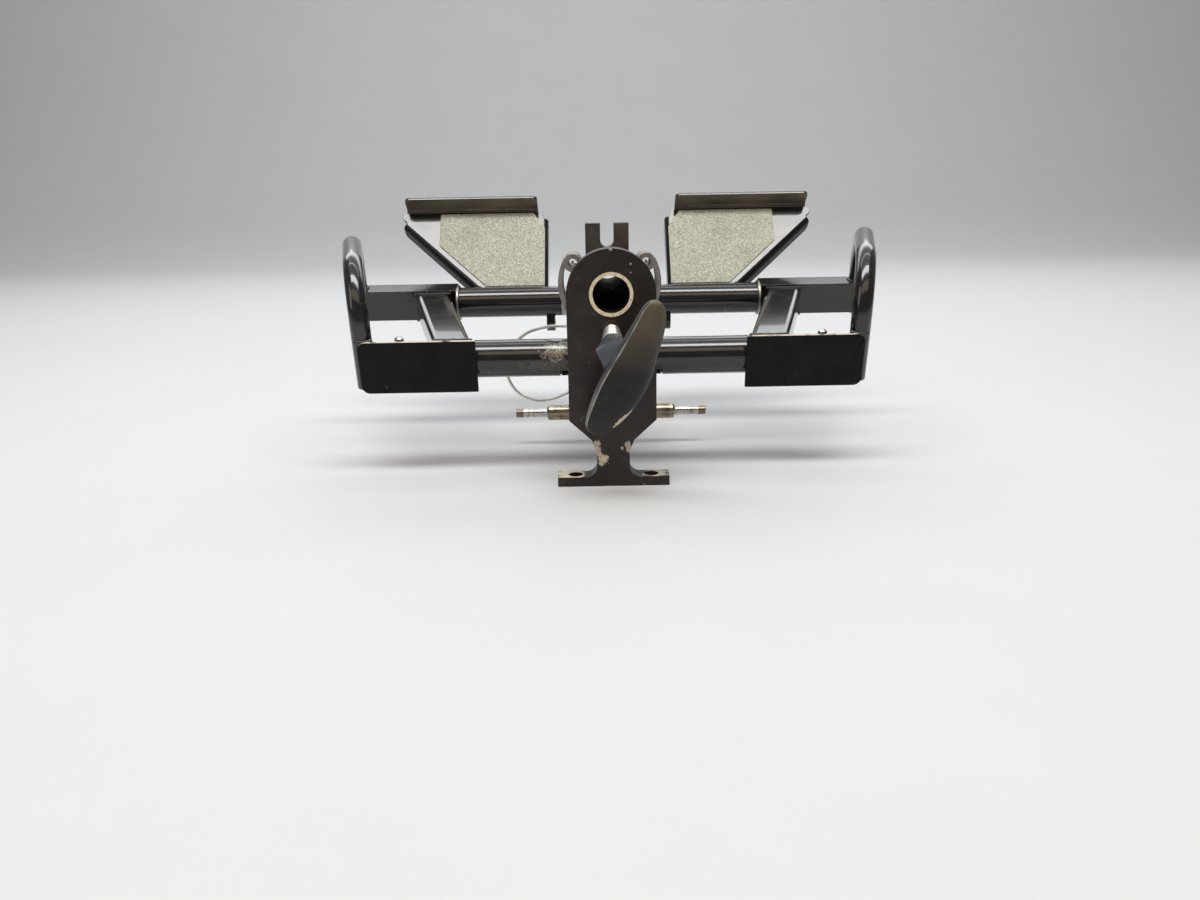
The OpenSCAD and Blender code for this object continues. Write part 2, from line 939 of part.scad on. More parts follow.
// Bar that holds the brake axle and ends on the hoop's back leg
module back_bar() {
    color(black)
        pedal_frame()
            difference() {
                translate([bar_in, bar_front, bar_z - bar_h / 2])
                    cube([hoop_back[0] - bar_in, bar_t, bar_h]);
                translate([0, brake_reach, brake_rise])
                    rod_x(brake_axle_r + hold_fit, bar_in - over, brake_axle_out + 0.3);
                translate([hoop_back[0], hoop_back[1], -big / 2])
                    cylinder(r = hoop_r + face_fit, h = big);
            }
}

module back_bar_left() {
    left()
        back_bar();
}

module back_bar_right() {
    back_bar();
}

module brake_axle() {
    color(steel)
        translate([0, brake_y, brake_z])
            rod_x(brake_axle_r, brake_axle_in, brake_axle_out);
}

module brake_axle_left() {
    left()
        brake_axle();
}

module brake_axle_right() {
    brake_axle();
}

module pivot_bush(x0) {
    color(bronze)
        translate([0, pivot_y, pivot_z])
            ring_x(pivot_bore_r - hold_fit, axle_r + run_fit, x0, x0 + pivot_bush_len);
}

module inner_pivot_bush_left() {
    left()
        pivot_bush(bush_in);
}

module inner_pivot_bush_right() {
    pivot_bush(bush_in);
}

module outer_pivot_bush_left() {
    left()
        pivot_bush(outer_bush_x);
}

module outer_pivot_bush_right() {
    pivot_bush(outer_bush_x);
}

// Domed screw whose tip runs in the axle's groove
module retaining_screw() {
    color(steel)
        pedal_frame()
            translate([screw_x, 0, 0]) {
                translate([0, 0, groove_r + 0.7])
                    cylinder(r = screw_r, h = pivot_r - groove_r);
                translate([0, 0, pivot_r + face_fit])
                    cylinder(r = screw_head_r, h = screw_head_t - 2);
                intersection() {
                    translate([0, 0, pivot_r + screw_head_t - screw_head_r - 0.6])
                        sphere(r = screw_head_r + 0.6);
                    translate([0, 0, pivot_r + face_fit])
                        cylinder(r = screw_head_r, h = screw_head_t);
                }
            }
}

module retaining_screw_left() {
    left()
        retaining_screw();
}

module retaining_screw_right() {
    retaining_screw();
}

module brake_washer() {
    color(steel)
        translate([0, brake_y, brake_z])
            ring_x(washer_r, brake_axle_r + hold_fit, bar_in - washer_t - face_fit, bar_in - face_fit);
}

module brake_washer_left() {
    left()
        brake_washer();
}

module brake_washer_right() {
    brake_washer();
}

// Collar on the brake axle's inner end, with a tooth in the brake tube's notch
module stop_collar() {
    color(steel)
        translate([0, brake_y, brake_z]) {
            ring_x(brake_tube_r - 0.3, brake_axle_r + hold_fit, collar_in, collar_in + collar_w);
            sector_x(brake_tube_r - 0.5, brake_bore_r + 0.3, collar_in + 0.5, brake_in + stop_len - 0.5,
                -90 - stop_angle / 2, -90 + stop_angle / 2);
        }
}

module stop_collar_left() {
    left()
        stop_collar();
}

module stop_collar_right() {
    stop_collar();
}

module brake_tube() {
    color(black)
        translate([0, brake_y, brake_z])
            difference() {
                ring_x(brake_tube_r, brake_bore_r, brake_in, brake_out);
                sector_x(brake_tube_r + over, brake_bore_r - over, brake_in - over, brake_in + stop_len,
                    -90 - stop_angle / 2 - stop_room - brake_swing, -90 + stop_angle / 2 + stop_room);
            }
}

module brake_tube_left() {
    left()
        brake_tube();
}

module brake_tube_right() {
    brake_tube();
}

// Flange with its two free corners rounded
module flange_outline(run, flange) {
    square([run, flange - flange_corner]);
    translate([flange_corner, 0])
        square([run - 2 * flange_corner, flange]);
    for (x = [flange_corner, run - flange_corner])
        translate([x, flange - flange_corner])
            circle(r = flange_corner);
}

// Quarter bend along X that turns from the plate's edge to the given side, with its flange
module bend(run, flange, side) {
    rotate([0, 90, 0])
        rotate([0, 0, side > 0 ? 180 : 90])
            rotate_extrude(angle = 90)
                translate([bend_r, 0])
                    square([sheet_t, run]);
    translate([0, 0, bend_r])
        mirror([0, side > 0 ? 0 : 1, 0])
            linear_extrude(height = sheet_t)
                flange_outline(run, flange);
}

// Outline of the brake plate's flat, in X and height
module plate_outline() {
    polygon([
        [plate_in + bend_r + sheet_t, plate_foot],
        [plate_in + bend_r + sheet_t, brake_h - bend_r - sheet_t],
        [plate_out, brake_h - bend_r - sheet_t], [plate_out, brake_h - corner_drop],
        [diagonal_x, plate_foot]
    ]);
}

module brake_plate() {
    lip_z = brake_h - bend_r - sheet_t;
    edge = (brake_h - corner_drop - plate_foot) / sin(diagonal);
    half = sheet_t / 2;
    color(black)
        brake_frame()
            intersection() {
                union() {
                    rotate([90, 0, 0])
                        linear_extrude(height = sheet_t, center = true)
                            plate_outline();
                    translate([plate_in + lip_in, -half - bend_r, lip_z])
                        bend(plate_out - plate_in - lip_in - lip_out, lip_w - bend_r - half, -1);
                    translate([plate_in + bend_r + sheet_t, half + bend_r, plate_foot + flange_low])
                        rotate([0, -90, 0])
                            bend(lip_z - plate_foot - flange_low - flange_high, flange_w - bend_r, 1);
                    translate([diagonal_x, half + bend_r, plate_foot])
                        rotate([0, -diagonal, 0])
                            translate([edge_low, 0, 0])
                                mirror([0, 0, 1])
                                    bend(edge - edge_low - edge_high, flange_w - bend_r, 1);
                }
                translate([0, -big / 2, plate_foot])
                    cube(big);
            }
}

module brake_plate_left() {
    left()
        brake_plate();
}

module brake_plate_right() {
    brake_plate();
}

// Grit sheet on the plate's face
module grip_pad() {
    slope = 1 / tan(diagonal);
    low_x = diagonal_x + (pad_foot - plate_foot) * slope - pad_edge;
    side_z = pad_foot + (pad_out - low_x) / slope;
    color(grit)
        brake_frame()
            translate([0, -sheet_t / 2 - pad_t / 2 - hold_fit, 0])
                rotate([90, 0, 0])
                    linear_extrude(height = pad_t, center = true)
                        polygon([
                            [pad_in, pad_foot], [pad_in, pad_top - pad_cut[1]],
                            [pad_in + pad_cut[0], pad_top], [pad_out, pad_top],
                            [pad_out, side_z], [low_x, pad_foot]
                        ]);
}

module grip_pad_left() {
    left()
        grip_pad();
}

module grip_pad_right() {
    grip_pad();
}

// Short lever under the brake tube, with the eye for the brake rod
module brake_lever() {
    color(black)
        translate([0, brake_y, brake_z])
            difference() {
                translate([lever_x, 0, 0])
                    rotate([90, 0, 90])
                        linear_extrude(height = lever_t) {
                            translate([-lever_r, -lever_eye])
                                square([2 * lever_r, lever_eye]);
                            translate([0, -lever_eye])
                                circle(r = lever_r);
                        }
                rod_x(brake_tube_r + face_fit, 0, big);
                translate([0, 0, -lever_eye])
                    rod_x(lever_eye_r, 0, big);
            }
}

module brake_lever_left() {
    left()
        brake_lever();
}

module brake_lever_right() {
    brake_lever();
}

module brake_bushes() {
    color(bronze)
        translate([0, brake_y, brake_z])
            for (x = [brake_bush_in, brake_bush_out])
                ring_x(brake_bore_r - hold_fit, brake_axle_r + run_fit, x, x + brake_bush_len);
}

module brake_bushes_left() {
    left()
        brake_bushes();
}

module brake_bushes_right() {
    brake_bushes();
}

rear_bracket();
front_bracket();
sled_tube();
tube_grub_screws();
cable_gland();
release_cable();
sled_housing();
rear_slide_bush();
front_slide_bush();
pivot_axle();
axle_cross_pin();
linkage_spindle();
spring_clip_left();
spring_clip_right();
clip_screws();
retaining_wire();
plunger_spring();
plunger_cap();
lock_plunger();
cable_clamp();
handle_grip();
handle_ferrule();
pivot_tube_left();
heel_plate_left();
hoop_left();
arm_left();
back_bar_left();
brake_axle_left();
inner_pivot_bush_left();
outer_pivot_bush_left();
retaining_screw_left();
brake_washer_left();
stop_collar_left();
brake_tube_left();
brake_plate_left();
grip_pad_left();
brake_lever_left();
brake_bushes_left();
pivot_tube_right();
heel_plate_right();
hoop_right();
arm_right();
back_bar_right();
brake_axle_right();
inner_pivot_bush_right();
outer_pivot_bush_right();
retaining_screw_right();
brake_washer_right();
stop_collar_right();
brake_tube_right();
brake_plate_right();
grip_pad_right();
brake_lever_right();
brake_bushes_right();
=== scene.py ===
import json
import math

import bmesh
import bpy
import numpy as np
from mathutils import Matrix, Vector


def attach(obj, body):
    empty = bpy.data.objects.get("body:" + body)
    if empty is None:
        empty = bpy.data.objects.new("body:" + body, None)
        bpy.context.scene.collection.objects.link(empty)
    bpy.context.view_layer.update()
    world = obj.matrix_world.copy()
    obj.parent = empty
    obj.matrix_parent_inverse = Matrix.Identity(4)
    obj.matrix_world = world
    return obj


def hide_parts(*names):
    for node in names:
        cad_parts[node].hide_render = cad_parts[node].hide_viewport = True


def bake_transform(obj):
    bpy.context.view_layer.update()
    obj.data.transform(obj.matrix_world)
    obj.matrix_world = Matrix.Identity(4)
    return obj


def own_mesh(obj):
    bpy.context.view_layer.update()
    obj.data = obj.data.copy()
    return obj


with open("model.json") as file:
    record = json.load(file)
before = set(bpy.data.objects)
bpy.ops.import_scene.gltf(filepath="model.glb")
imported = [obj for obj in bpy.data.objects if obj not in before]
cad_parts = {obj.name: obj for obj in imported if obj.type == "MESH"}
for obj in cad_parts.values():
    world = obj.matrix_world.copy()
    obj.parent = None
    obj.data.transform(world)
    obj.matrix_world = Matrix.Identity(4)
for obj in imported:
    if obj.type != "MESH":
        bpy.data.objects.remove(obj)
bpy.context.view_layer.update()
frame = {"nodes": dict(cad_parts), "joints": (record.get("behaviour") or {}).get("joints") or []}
mm = 0.001
scene = bpy.context.scene
scene.view_settings.view_transform = "Standard"
print("frame loaded:", len(frame["nodes"]), "nodes")


# camera at the photograph's angle, for a 1200 x 900 frame
cameraFacts = {"place": (-0.0082, -0.5625, 0.186), "pitch": 16.3, "roll": -1.05, "lens": 28.35,
               "sensor": 36.0, "near": 0.01, "far": 50.0}


def placeCamera(facts):
    data = bpy.data.cameras.new("photoCamera")
    data.lens, data.sensor_width = facts["lens"], facts["sensor"]
    data.clip_start, data.clip_end = facts["near"], facts["far"]
    camera = bpy.data.objects.new("photoCamera", data)
    scene.collection.objects.link(camera)
    tilt = Matrix.Rotation(math.radians(90 - facts["pitch"]), 4, "X")
    roll = Matrix.Rotation(math.radians(facts["roll"]), 4, "Z")
    camera.matrix_world = Matrix.Translation(facts["place"]) @ tilt @ roll
    scene.camera = camera


placeCamera(cameraFacts)
print("camera placed")


# node trees, for shaders and for geometry
class Wire:
    def __init__(self, web, socket):
        self.web, self.socket = web, socket

    def calc(self, operation, a, b):
        return self.web.node("ShaderNodeMath", {"operation": operation}, {0: a, 1: b})

    def __add__(self, other):
        return self.calc("ADD", self, other)

    def __radd__(self, other):
        return self.calc("ADD", other, self)

    def __sub__(self, other):
        return self.calc("SUBTRACT", self, other)

    def __rsub__(self, other):
        return self.calc("SUBTRACT", other, self)

    def __mul__(self, other):
        return self.calc("MULTIPLY", self, other)

    def __rmul__(self, other):
        return self.calc("MULTIPLY", other, self)

    def __truediv__(self, other):
        return self.calc("DIVIDE", self, other)

    def most(self, other):
        return self.calc("MAXIMUM", self, other)


class Web:
    def __init__(self, tree):
        self.tree = tree

    def node(self, kind, settings=None, values=None, out=0):
        made = self.tree.nodes.new(kind)
        for key, value in (settings or {}).items():
            setattr(made, key, value)
        for key, value in (values or {}).items():
            target = made.inputs[key]
            if isinstance(value, Wire):
                self.tree.links.new(value.socket, target)
            else:
                target.default_value = value
        return Wire(self, made.outputs[out])


class Finish(Web):
    def __init__(self, name):
        self.material = bpy.data.materials.new(name)
        self.material.use_nodes = True
        super().__init__(self.material.node_tree)
        self.skin = self.tree.nodes["Principled BSDF"]
        self.place = self.node("ShaderNodeTexCoord", out="Object")
        self.axes = self.split(self.place)

    def split(self, vector):
        return [self.node("ShaderNodeSeparateXYZ", None, {0: vector}, axis) for axis in "XYZ"]

    def noise(self, scale, detail=3.0, rough=0.55, stretch=None):
        where = self.place
        if stretch:
            where = self.node("ShaderNodeMapping", None, {"Vector": self.place, "Scale": stretch})
        return self.node("ShaderNodeTexNoise", None, {
            "Vector": where, "Scale": scale, "Detail": detail, "Roughness": rough})

    def cells(self, scale, out="Distance"):
        return self.node("ShaderNodeTexVoronoi", None, {"Vector": self.place, "Scale": scale}, out)

    def band(self, value, low, high):
        return self.node("ShaderNodeMapRange", {"interpolation_type": "SMOOTHSTEP"}, {
            "Value": value, "From Min": low, "From Max": high})

    def mix(self, share, a, b):
        return self.node("ShaderNodeMix", {"data_type": "RGBA"}, {
            0: share, 6: rgba(a), 7: rgba(b)}, 2)

    def spot(self, centre, radius, ragged):
        # ragged blob about a point, given in mm
        away = self.node("ShaderNodeVectorMath", {"operation": "DISTANCE"}, {
            0: self.place, 1: [c * mm for c in centre]}, "Value")
        edge = away / (radius * mm) + (self.noise(1.6 / (radius * mm), 5.0, 0.68) - 0.5) * ragged
        return self.band(edge, 1.0, 0.82)

    def upward(self):
        normal = self.node("ShaderNodeNewGeometry", out="Normal")
        return self.split(normal)[2]

    def dress(self, colour, rough, metal, coat, height, depth, grip, **fixed):
        # height is a bump, depth mm deep at full grip
        looks = {"Base Color": colour, "Roughness": rough, "Metallic": metal, "Coat Weight": coat}
        for name, value in looks.items():
            if isinstance(value, Wire):
                self.tree.links.new(value.socket, self.skin.inputs[name])
            elif value is not None:
                self.skin.inputs[name].default_value = rgba(value)
        bump = self.node("ShaderNodeBump", None, {
            "Height": height, "Strength": grip, "Distance": depth * mm}, "Normal")
        self.tree.links.new(bump.socket, self.skin.inputs["Normal"])
        for name, value in fixed.items():
            self.skin.inputs[name.replace("_", " ")].default_value = value
        return self.material


def rgba(value):
    return (*value, 1.0) if isinstance(value, tuple) and len(value) == 3 else value


# paints: one recipe, with the same paint rubbed through along the edges
paintFacts = {
    "frameBlack": {
        "tones": ((0.0055, 0.0055, 0.0062), (0.013, 0.0115, 0.0105)), "under": (0.42, 0.38, 0.32),
        "rough": 0.15, "coat": 0.55, "specular": 0.45, "chip": 0.735, "edgeChip": 0.60, "dust": 0.55,
        "speckle": 0.36, "grain": 0.34},
    "heelBlack": {
        "tones": ((0.005, 0.0052, 0.0062), (0.009, 0.009, 0.010)), "under": (0.52, 0.47, 0.39),
        "rough": 0.46, "coat": 0.0, "specular": 0.13, "chip": 0.73, "edgeChip": 0.42, "dust": 0.25,
        "speckle": 0.30, "grain": 0.16, "topWearAndHighlight": (0.60, 0.52, 0.41)},
    "forkBrown": {
        "tones": ((0.042, 0.034, 0.028), (0.070, 0.056, 0.045)), "under": (0.50, 0.42, 0.32),
        "rough": 0.38, "coat": 0.15, "specular": 0.45, "chip": 0.715, "edgeChip": 0.53, "dust": 0.5,
        "speckle": 0.30, "grain": 0.16},
    "bracketBrown": {
        "tones": ((0.0120, 0.0080, 0.0074), (0.025, 0.0165, 0.0138)), "under": (0.50, 0.42, 0.32),
        "rough": 0.40, "coat": 0.12, "specular": 0.32, "chip": 0.715, "edgeChip": 0.53, "dust": 0.5,
        "speckle": 0.30, "grain": 0.16},
}
# bare places: a point in mm, a radius, how ragged, the colour, and 1 where it keeps to the top face
barePlaces = {
    "frameBlack": [
        ((-33, 27.6, 69.5), 4.5, 3.0, (0.13, 0.11, 0.09)),
        ((-41, 27.6, 69), 4.5, 3.2, (0.15, 0.125, 0.10)),
        ((-49, 27.6, 69.3), 4.0, 3.4, (0.14, 0.115, 0.095)),
        ((-57, 27.7, 69.6), 3.0, 3.4, (0.12, 0.10, 0.085)),
        ((-30.5, 29.5, 79.5), 7.0, 2.8, (0.46, 0.44, 0.37)),
        ((-38.5, 29, 78.5), 6.0, 3.2, (0.38, 0.35, 0.30)),
        ((-34, 27.9, 75.5), 4.5, 3.2, (0.30, 0.27, 0.22)),
    ],
    "bracketBrown": [
        ((-6.2, -6.5, 17.8), 3.3, 2.6, (0.64, 0.56, 0.38)),
        ((-7.4, -6.5, 14.8), 1.8, 2.8, (0.56, 0.48, 0.33)),
        ((-10, -6.5, 27.5), 2.1, 2.8, (0.52, 0.43, 0.33)),
        ((-9.6, -6.5, 24.0), 2.3, 2.8, (0.54, 0.45, 0.34)),
        ((-9.2, -6.5, 20.8), 1.9, 2.8, (0.56, 0.47, 0.34)),
        ((9.0, -6.5, 26.4), 2.2, 2.8, (0.50, 0.41, 0.32)),
        ((9.8, -6.5, 23.2), 1.8, 2.8, (0.48, 0.40, 0.31)),
        ((5.4, -6.5, 24.3), 1.0, 2.6, (0.50, 0.43, 0.34)),
        ((-26.5, 0, 6), 9.5, 1.6, (0.70, 0.65, 0.50), 1),
        ((26.5, 0, 6), 7.8, 2.2, (0.50, 0.46, 0.37), 1),
        ((0, -6.5, 144.4), 1.3, 2.0, (0.46, 0.38, 0.31)),
        ((11.5, -6.5, 135.5), 0.7, 1.0, (0.45, 0.40, 0.36)),
        ((11.5, -6.5, 130.5), 0.5, 1.0, (0.40, 0.36, 0.32)),
    ],
}
dustTone = (0.46, 0.44, 0.40)
glossCoat = 0.5


def paint(name, edge):
    facts = paintFacts[name]
    f = Finish(name + ("Edge" if edge else ""))
    tone = f.mix(f.band(f.noise(70.0, 5.0, 0.6), 0.35, 0.7), *facts["tones"])
    chips = f.noise(640.0, 4.0, 0.62) + (f.noise(75.0, 2.0) - 0.5) * 0.42
    limit = facts["edgeChip"] if edge else facts["chip"]
    bare = f.band(chips, limit, limit + 0.035)
    metalTone = f.mix(f.noise(330.0), facts["under"], tuple(c * 0.62 for c in facts["under"]))
    colour = f.mix(bare, tone, metalTone)
    speckle = f.band(f.noise(1100.0, 4.0, 0.7), facts["speckle"], facts["speckle"] + facts["grain"])
    for centre, radius, ragged, bareTone, *topOnly in barePlaces.get(name, []):
        patch = f.spot(centre, radius, ragged) * (f.band(f.upward(), 0.5, 0.9) if topOnly else speckle)
        colour = f.mix(patch, colour, bareTone)
        bare = bare.most(patch * 0.8)
    # upward faces made paler: partly rubbed wear, partly a painted highlight along the top edges
    if "topWearAndHighlight" in facts:
        topWornAndLit = f.band(f.upward(), 0.4, 0.8) * f.band(f.noise(170.0, 4.0, 0.6), 0.34, 0.52)
        colour = f.mix(topWornAndLit, colour, facts["topWearAndHighlight"])
        bare = bare.most(topWornAndLit * 0.6)
    lint = f.band(f.noise(1500.0, 2.0), 0.60, 0.72) * f.band(f.noise(38.0, 3.0), 0.42, 0.72)
    dust = f.band(f.upward(), 0.35, 0.95) * (0.22 + 0.78 * lint) * facts["dust"]
    colour = f.mix(dust * 0.16, colour, dustTone)
    smear = f.band(f.noise(26.0, 5.0, 0.7, (1.0, 1.0, 2.2)), 0.42, 0.75)
    rough = facts["rough"] + smear * 0.10 + bare * 0.30 + dust * 0.16
    peel = f.noise(420.0, 2.0) * 0.35 + f.noise(2300.0, 2.0) * (0.10 if facts["coat"] > glossCoat else 0.55)
    coat = (1 - bare) * facts["coat"] if facts["coat"] > 0 else None
    return f.dress(colour, rough, bare * 0.7, coat, peel - bare * 0.8, 0.06, 0.35,
                   Specular_IOR_Level=facts["specular"], Coat_Roughness=0.04)


# metals: brushed along one axis, and stained in patches
metalFacts = {
    # name: (clean tone, stained tone, roughness, brushing)
    "axleSteel": ((0.50, 0.49, 0.47), (0.36, 0.34, 0.31), 0.27, (1.0, 14.0, 14.0)),
    "ringBronze": ((0.56, 0.42, 0.28), (0.34, 0.24, 0.15), 0.30, (9.0, 1.0, 9.0)),
    "clipPlate": ((0.40, 0.365, 0.33), (0.24, 0.22, 0.20), 0.38, (6.0, 1.0, 6.0)),
    "cableSteel": ((0.84, 0.80, 0.73), (0.60, 0.55, 0.48), 0.30, (1.0, 1.0, 1.0)),
    "screwSteel": ((0.66, 0.65, 0.62), (0.46, 0.44, 0.40), 0.22, (8.0, 8.0, 1.0)),
    "ferruleSteel": ((0.78, 0.76, 0.69), (0.52, 0.49, 0.42), 0.36, (8.0, 1.0, 8.0)),
    # the gland's dark brown is partly painted shade, for the shaded dip round the ferrule's top
    "glandBrownAndShade": ((0.115, 0.088, 0.070), (0.055, 0.044, 0.038), 0.34, (6.0, 1.0, 6.0)),
}
rustTone = (0.10, 0.075, 0.05)


def metal(name):
    clean, stained, polish, brush = metalFacts[name]
    f = Finish(name)
    stain = f.band(f.noise(140.0, 5.0, 0.65), 0.45, 0.72)
    grain = f.noise(260.0, 3.0, 0.6, brush)
    colour = f.mix(stain, clean, stained)
    colour = f.mix(f.band(f.noise(950.0, 3.0), 0.63, 0.74) * 0.6, colour, rustTone)
    rough = polish + stain * 0.14 + (grain - 0.5) * 0.16
    return f.dress(colour, rough, 1.0, None, grain * 0.6 + f.noise(1800.0, 2.0) * 0.3, 0.03, 0.4)


# where the spindle's barrel ends and its tips begin, in mm from the middle
spindleFacts = {"barrel": 44.85, "barrelFade": 0.25, "tip": 61.7, "tipFade": 0.5}


def spindleBand(name, way):
    middle, fade = spindleFacts[name], spindleFacts[name + "Fade"] * way
    return (middle - fade) * mm, (middle + fade) * mm


def spindleMetal():
    # bronze barrel, silver journals, brown tips, with turned bands
    f = Finish("spindleMetal")
    reach = f.node("ShaderNodeMath", {"operation": "ABSOLUTE"}, {0: f.axes[0]})
    barrel = f.band(reach, *spindleBand("barrel", -1))
    rings = f.noise(900.0, 2.0, 0.5, (1.0, 0.02, 0.02))
    worn = f.band(f.noise(190.0, 4.0) + (rings - 0.5) * 0.3, 0.32, 0.68)
    bronze = f.mix(worn, (0.25, 0.19, 0.135), (0.46, 0.385, 0.30))
    silver = f.mix(f.band(rings + (worn - 0.5) * 0.12, 0.34, 0.60), (0.38, 0.33, 0.27), (0.64, 0.62, 0.58))
    tip = f.band(reach, *spindleBand("tip", 1))
    colour = f.mix(barrel, f.mix(tip, silver, (0.27, 0.21, 0.15)), bronze)
    rough = 0.22 + worn * 0.14 + tip * 0.12
    return f.dress(colour, rough, 1.0, None, rings, 0.05, 0.35)


# sled tube in mm: its axis' height, its bore's radius, and the plane just behind its end ring
tubeFacts = {"axis": 118.0, "bore": 11.0, "end": -6.5}


def tubeMetal():
    # dark in the bore, bright on the end ring, rubbed along the slide
    f = Finish("tubeMetal")
    end = f.band(f.axes[1], (tubeFacts["end"] + 0.3) * mm, (tubeFacts["end"] - 0.3) * mm)
    across = f.node("ShaderNodeCombineXYZ", None, {0: f.axes[0], 1: f.axes[2] - tubeFacts["axis"] * mm})
    away = f.node("ShaderNodeVectorMath", {"operation": "LENGTH"}, {0: across}, "Value")
    bore = f.band(away, (tubeFacts["bore"] + 0.5) * mm, (tubeFacts["bore"] + 0.2) * mm)
    rub = f.noise(120.0, 4.0, 0.6, (6.0, 1.0, 6.0))
    body = f.mix(f.band(rub, 0.35, 0.7), (0.050, 0.044, 0.040), (0.135, 0.122, 0.108))
    body = f.mix(bore, body, (0.014, 0.013, 0.013))
    ring = f.mix(f.band(f.noise(520.0, 3.0), 0.4, 0.65), (0.86, 0.74, 0.55), (0.66, 0.52, 0.36))
    return f.dress(f.mix(end, body, ring), 0.26 + rub * 0.14 + end * 0.12 + bore * 0.5,
                   0.92 - end * 0.55 - bore * 0.9, None, rub, 0.03, 0.3)


# painted highlight along the grip's lower rim, in spots, each a point and a radius in mm
gripGlints = [((0.6, -31.2, 44.2), 1.3), ((2.6, -32.0, 46.4), 2.1), ((4.9, -33.0, 48.8), 2.6),
             ((7.3, -33.6, 51.5), 2.5), ((9.5, -34.0, 54.2), 1.9), ((11.0, -34.2, 56.4), 1.1)]
glintRagged = 0.7


def gripPlastic():
    # black moulded handle, browner towards its top end and a little lighter at its bottom, with a pale
    # painted highlight along its lower rim
    f = Finish("gripPlastic")
    tone = f.mix(f.band(f.noise(90.0, 4.0), 0.35, 0.7), (0.0085, 0.0088, 0.0105), (0.0150, 0.0142, 0.0145))
    mottle = f.noise(48.0, 5.0, 0.65) - 0.5
    # browner towards the top end and a little lighter near the bottom, by height
    top = f.band(f.axes[2] + mottle * 0.030, 0.072, 0.118)
    low = f.band(f.axes[2] + mottle * 0.016, 0.056, 0.044)
    colour = f.mix(top * 0.85, tone, (0.115, 0.092, 0.058))
    colour = f.mix(low * 0.30, colour, (0.045, 0.038, 0.030))
    scratch = f.band(f.noise(420.0, 4.0, 0.7, (1.0, 1.0, 0.12)), 0.62, 0.72)
    colour = f.mix(scratch * 0.30, colour, (0.13, 0.12, 0.105))
    glintMask = f.spot(*gripGlints[0], glintRagged)
    for chip in gripGlints[1:]:
        glintMask = glintMask.most(f.spot(*chip, glintRagged))
    # the pale spots along the lower rim are a painted highlight
    colour = f.mix(glintMask, colour, (0.62, 0.53, 0.40))
    rough = 0.34 + f.noise(60.0, 4.0) * 0.16 + top * 0.05 + scratch * 0.12
    return f.dress(colour, rough, None, None, f.noise(1500.0, 3.0) * 0.6 + scratch * -0.5, 0.05, 0.35,
                   Specular_IOR_Level=0.24)


def neckPaintAndReflection():
    # the neck's four facets, greyer than the grip: a bluish-grey painted reflection over the paint, with
    # real wear to bare metal
    f = Finish("neckPaintAndReflection")
    # bluish-grey tone: a painted reflection of a blue surrounding
    tone = f.mix(f.band(f.noise(110.0, 4.0), 0.35, 0.7), (0.050, 0.056, 0.068), (0.080, 0.087, 0.100))
    wear = f.band(f.noise(300.0, 5.0, 0.7) + f.band(f.axes[1], -0.027, -0.018) * 0.10, 0.66, 0.74)
    colour = f.mix(wear, tone, (0.34, 0.33, 0.29))
    height = f.noise(1200.0, 3.0) - wear * 0.5
    return f.dress(colour, 0.27 + wear * 0.16, wear * 0.6, None, height, 0.05, 0.35,
                   Specular_IOR_Level=0.45)


def gripCreaseWearAndHighlight():
    # the grip's long crease, made pale: partly rubbed wear, partly a painted highlight
    f = Finish("gripCreaseWearAndHighlight")
    rub = f.band(f.noise(150.0, 5.0, 0.65), 0.30, 0.62)
    colour = f.mix(rub, (0.06, 0.06, 0.062), (0.34, 0.30, 0.23))
    return f.dress(colour, 0.27 + rub * 0.1, None, None, f.noise(900.0, 3.0), 0.04, 0.3)


def lipRubAndReflection():
    # inner face of the plate's lip: its brown tone is a painted reflection, with mottled patches and pale
    # flecks
    f = Finish("lipRubAndReflection")
    rub = f.band(f.noise(60.0, 5.0, 0.65, (0.35, 1.0, 1.0)), 0.35, 0.70)
    colour = f.mix(rub, (0.095, 0.076, 0.058), (0.215, 0.172, 0.120))
    fleck = f.band(f.noise(700.0, 4.0, 0.7), 0.64, 0.72)
    colour = f.mix(fleck * 0.5, colour, (0.40, 0.36, 0.29))
    return f.dress(colour, 0.30 + rub * 0.14, None, None, f.noise(900.0, 3.0), 0.04, 0.3,
                   Specular_IOR_Level=0.45)


def gritSheet():
    # mineral grains in a grey-green binder
    f = Finish("gritSheet")
    fleck = f.cells(2300.0, "Color")
    pick = f.split(fleck)[0]
    colour = f.mix(f.band(pick, 0.25, 0.85), (0.27, 0.275, 0.215), (0.60, 0.605, 0.50))
    colour = f.mix(f.band(pick, 0.92, 0.97), colour, (0.80, 0.79, 0.70))
    soil = f.band(f.noise(55.0, 5.0, 0.65), 0.42, 0.75)
    colour = f.mix(soil * 0.22, colour, (0.19, 0.185, 0.15))
    return f.dress(colour, 0.62 + soil * 0.18, None, None, f.cells(1500.0), 0.25, 0.6,
                   Specular_IOR_Level=0.5)


def slidePlastic():
    f = Finish("slidePlastic")
    turned = f.noise(600.0, 2.0, 0.5, (0.05, 1.0, 0.05))
    colour = f.mix(turned, (0.035, 0.035, 0.033), (0.075, 0.074, 0.068))
    return f.dress(colour, 0.42 + turned * 0.2, None, None, turned, 0.05, 0.4)


def floorPaper():
    f = Finish("floorPaper")
    colour = f.mix(f.noise(9.0, 6.0, 0.6), (0.59, 0.60, 0.61), (0.625, 0.63, 0.635))
    return f.dress(colour, 0.62, None, None, f.noise(340.0, 3.0), 0.12, 0.15, Specular_IOR_Level=0.25)


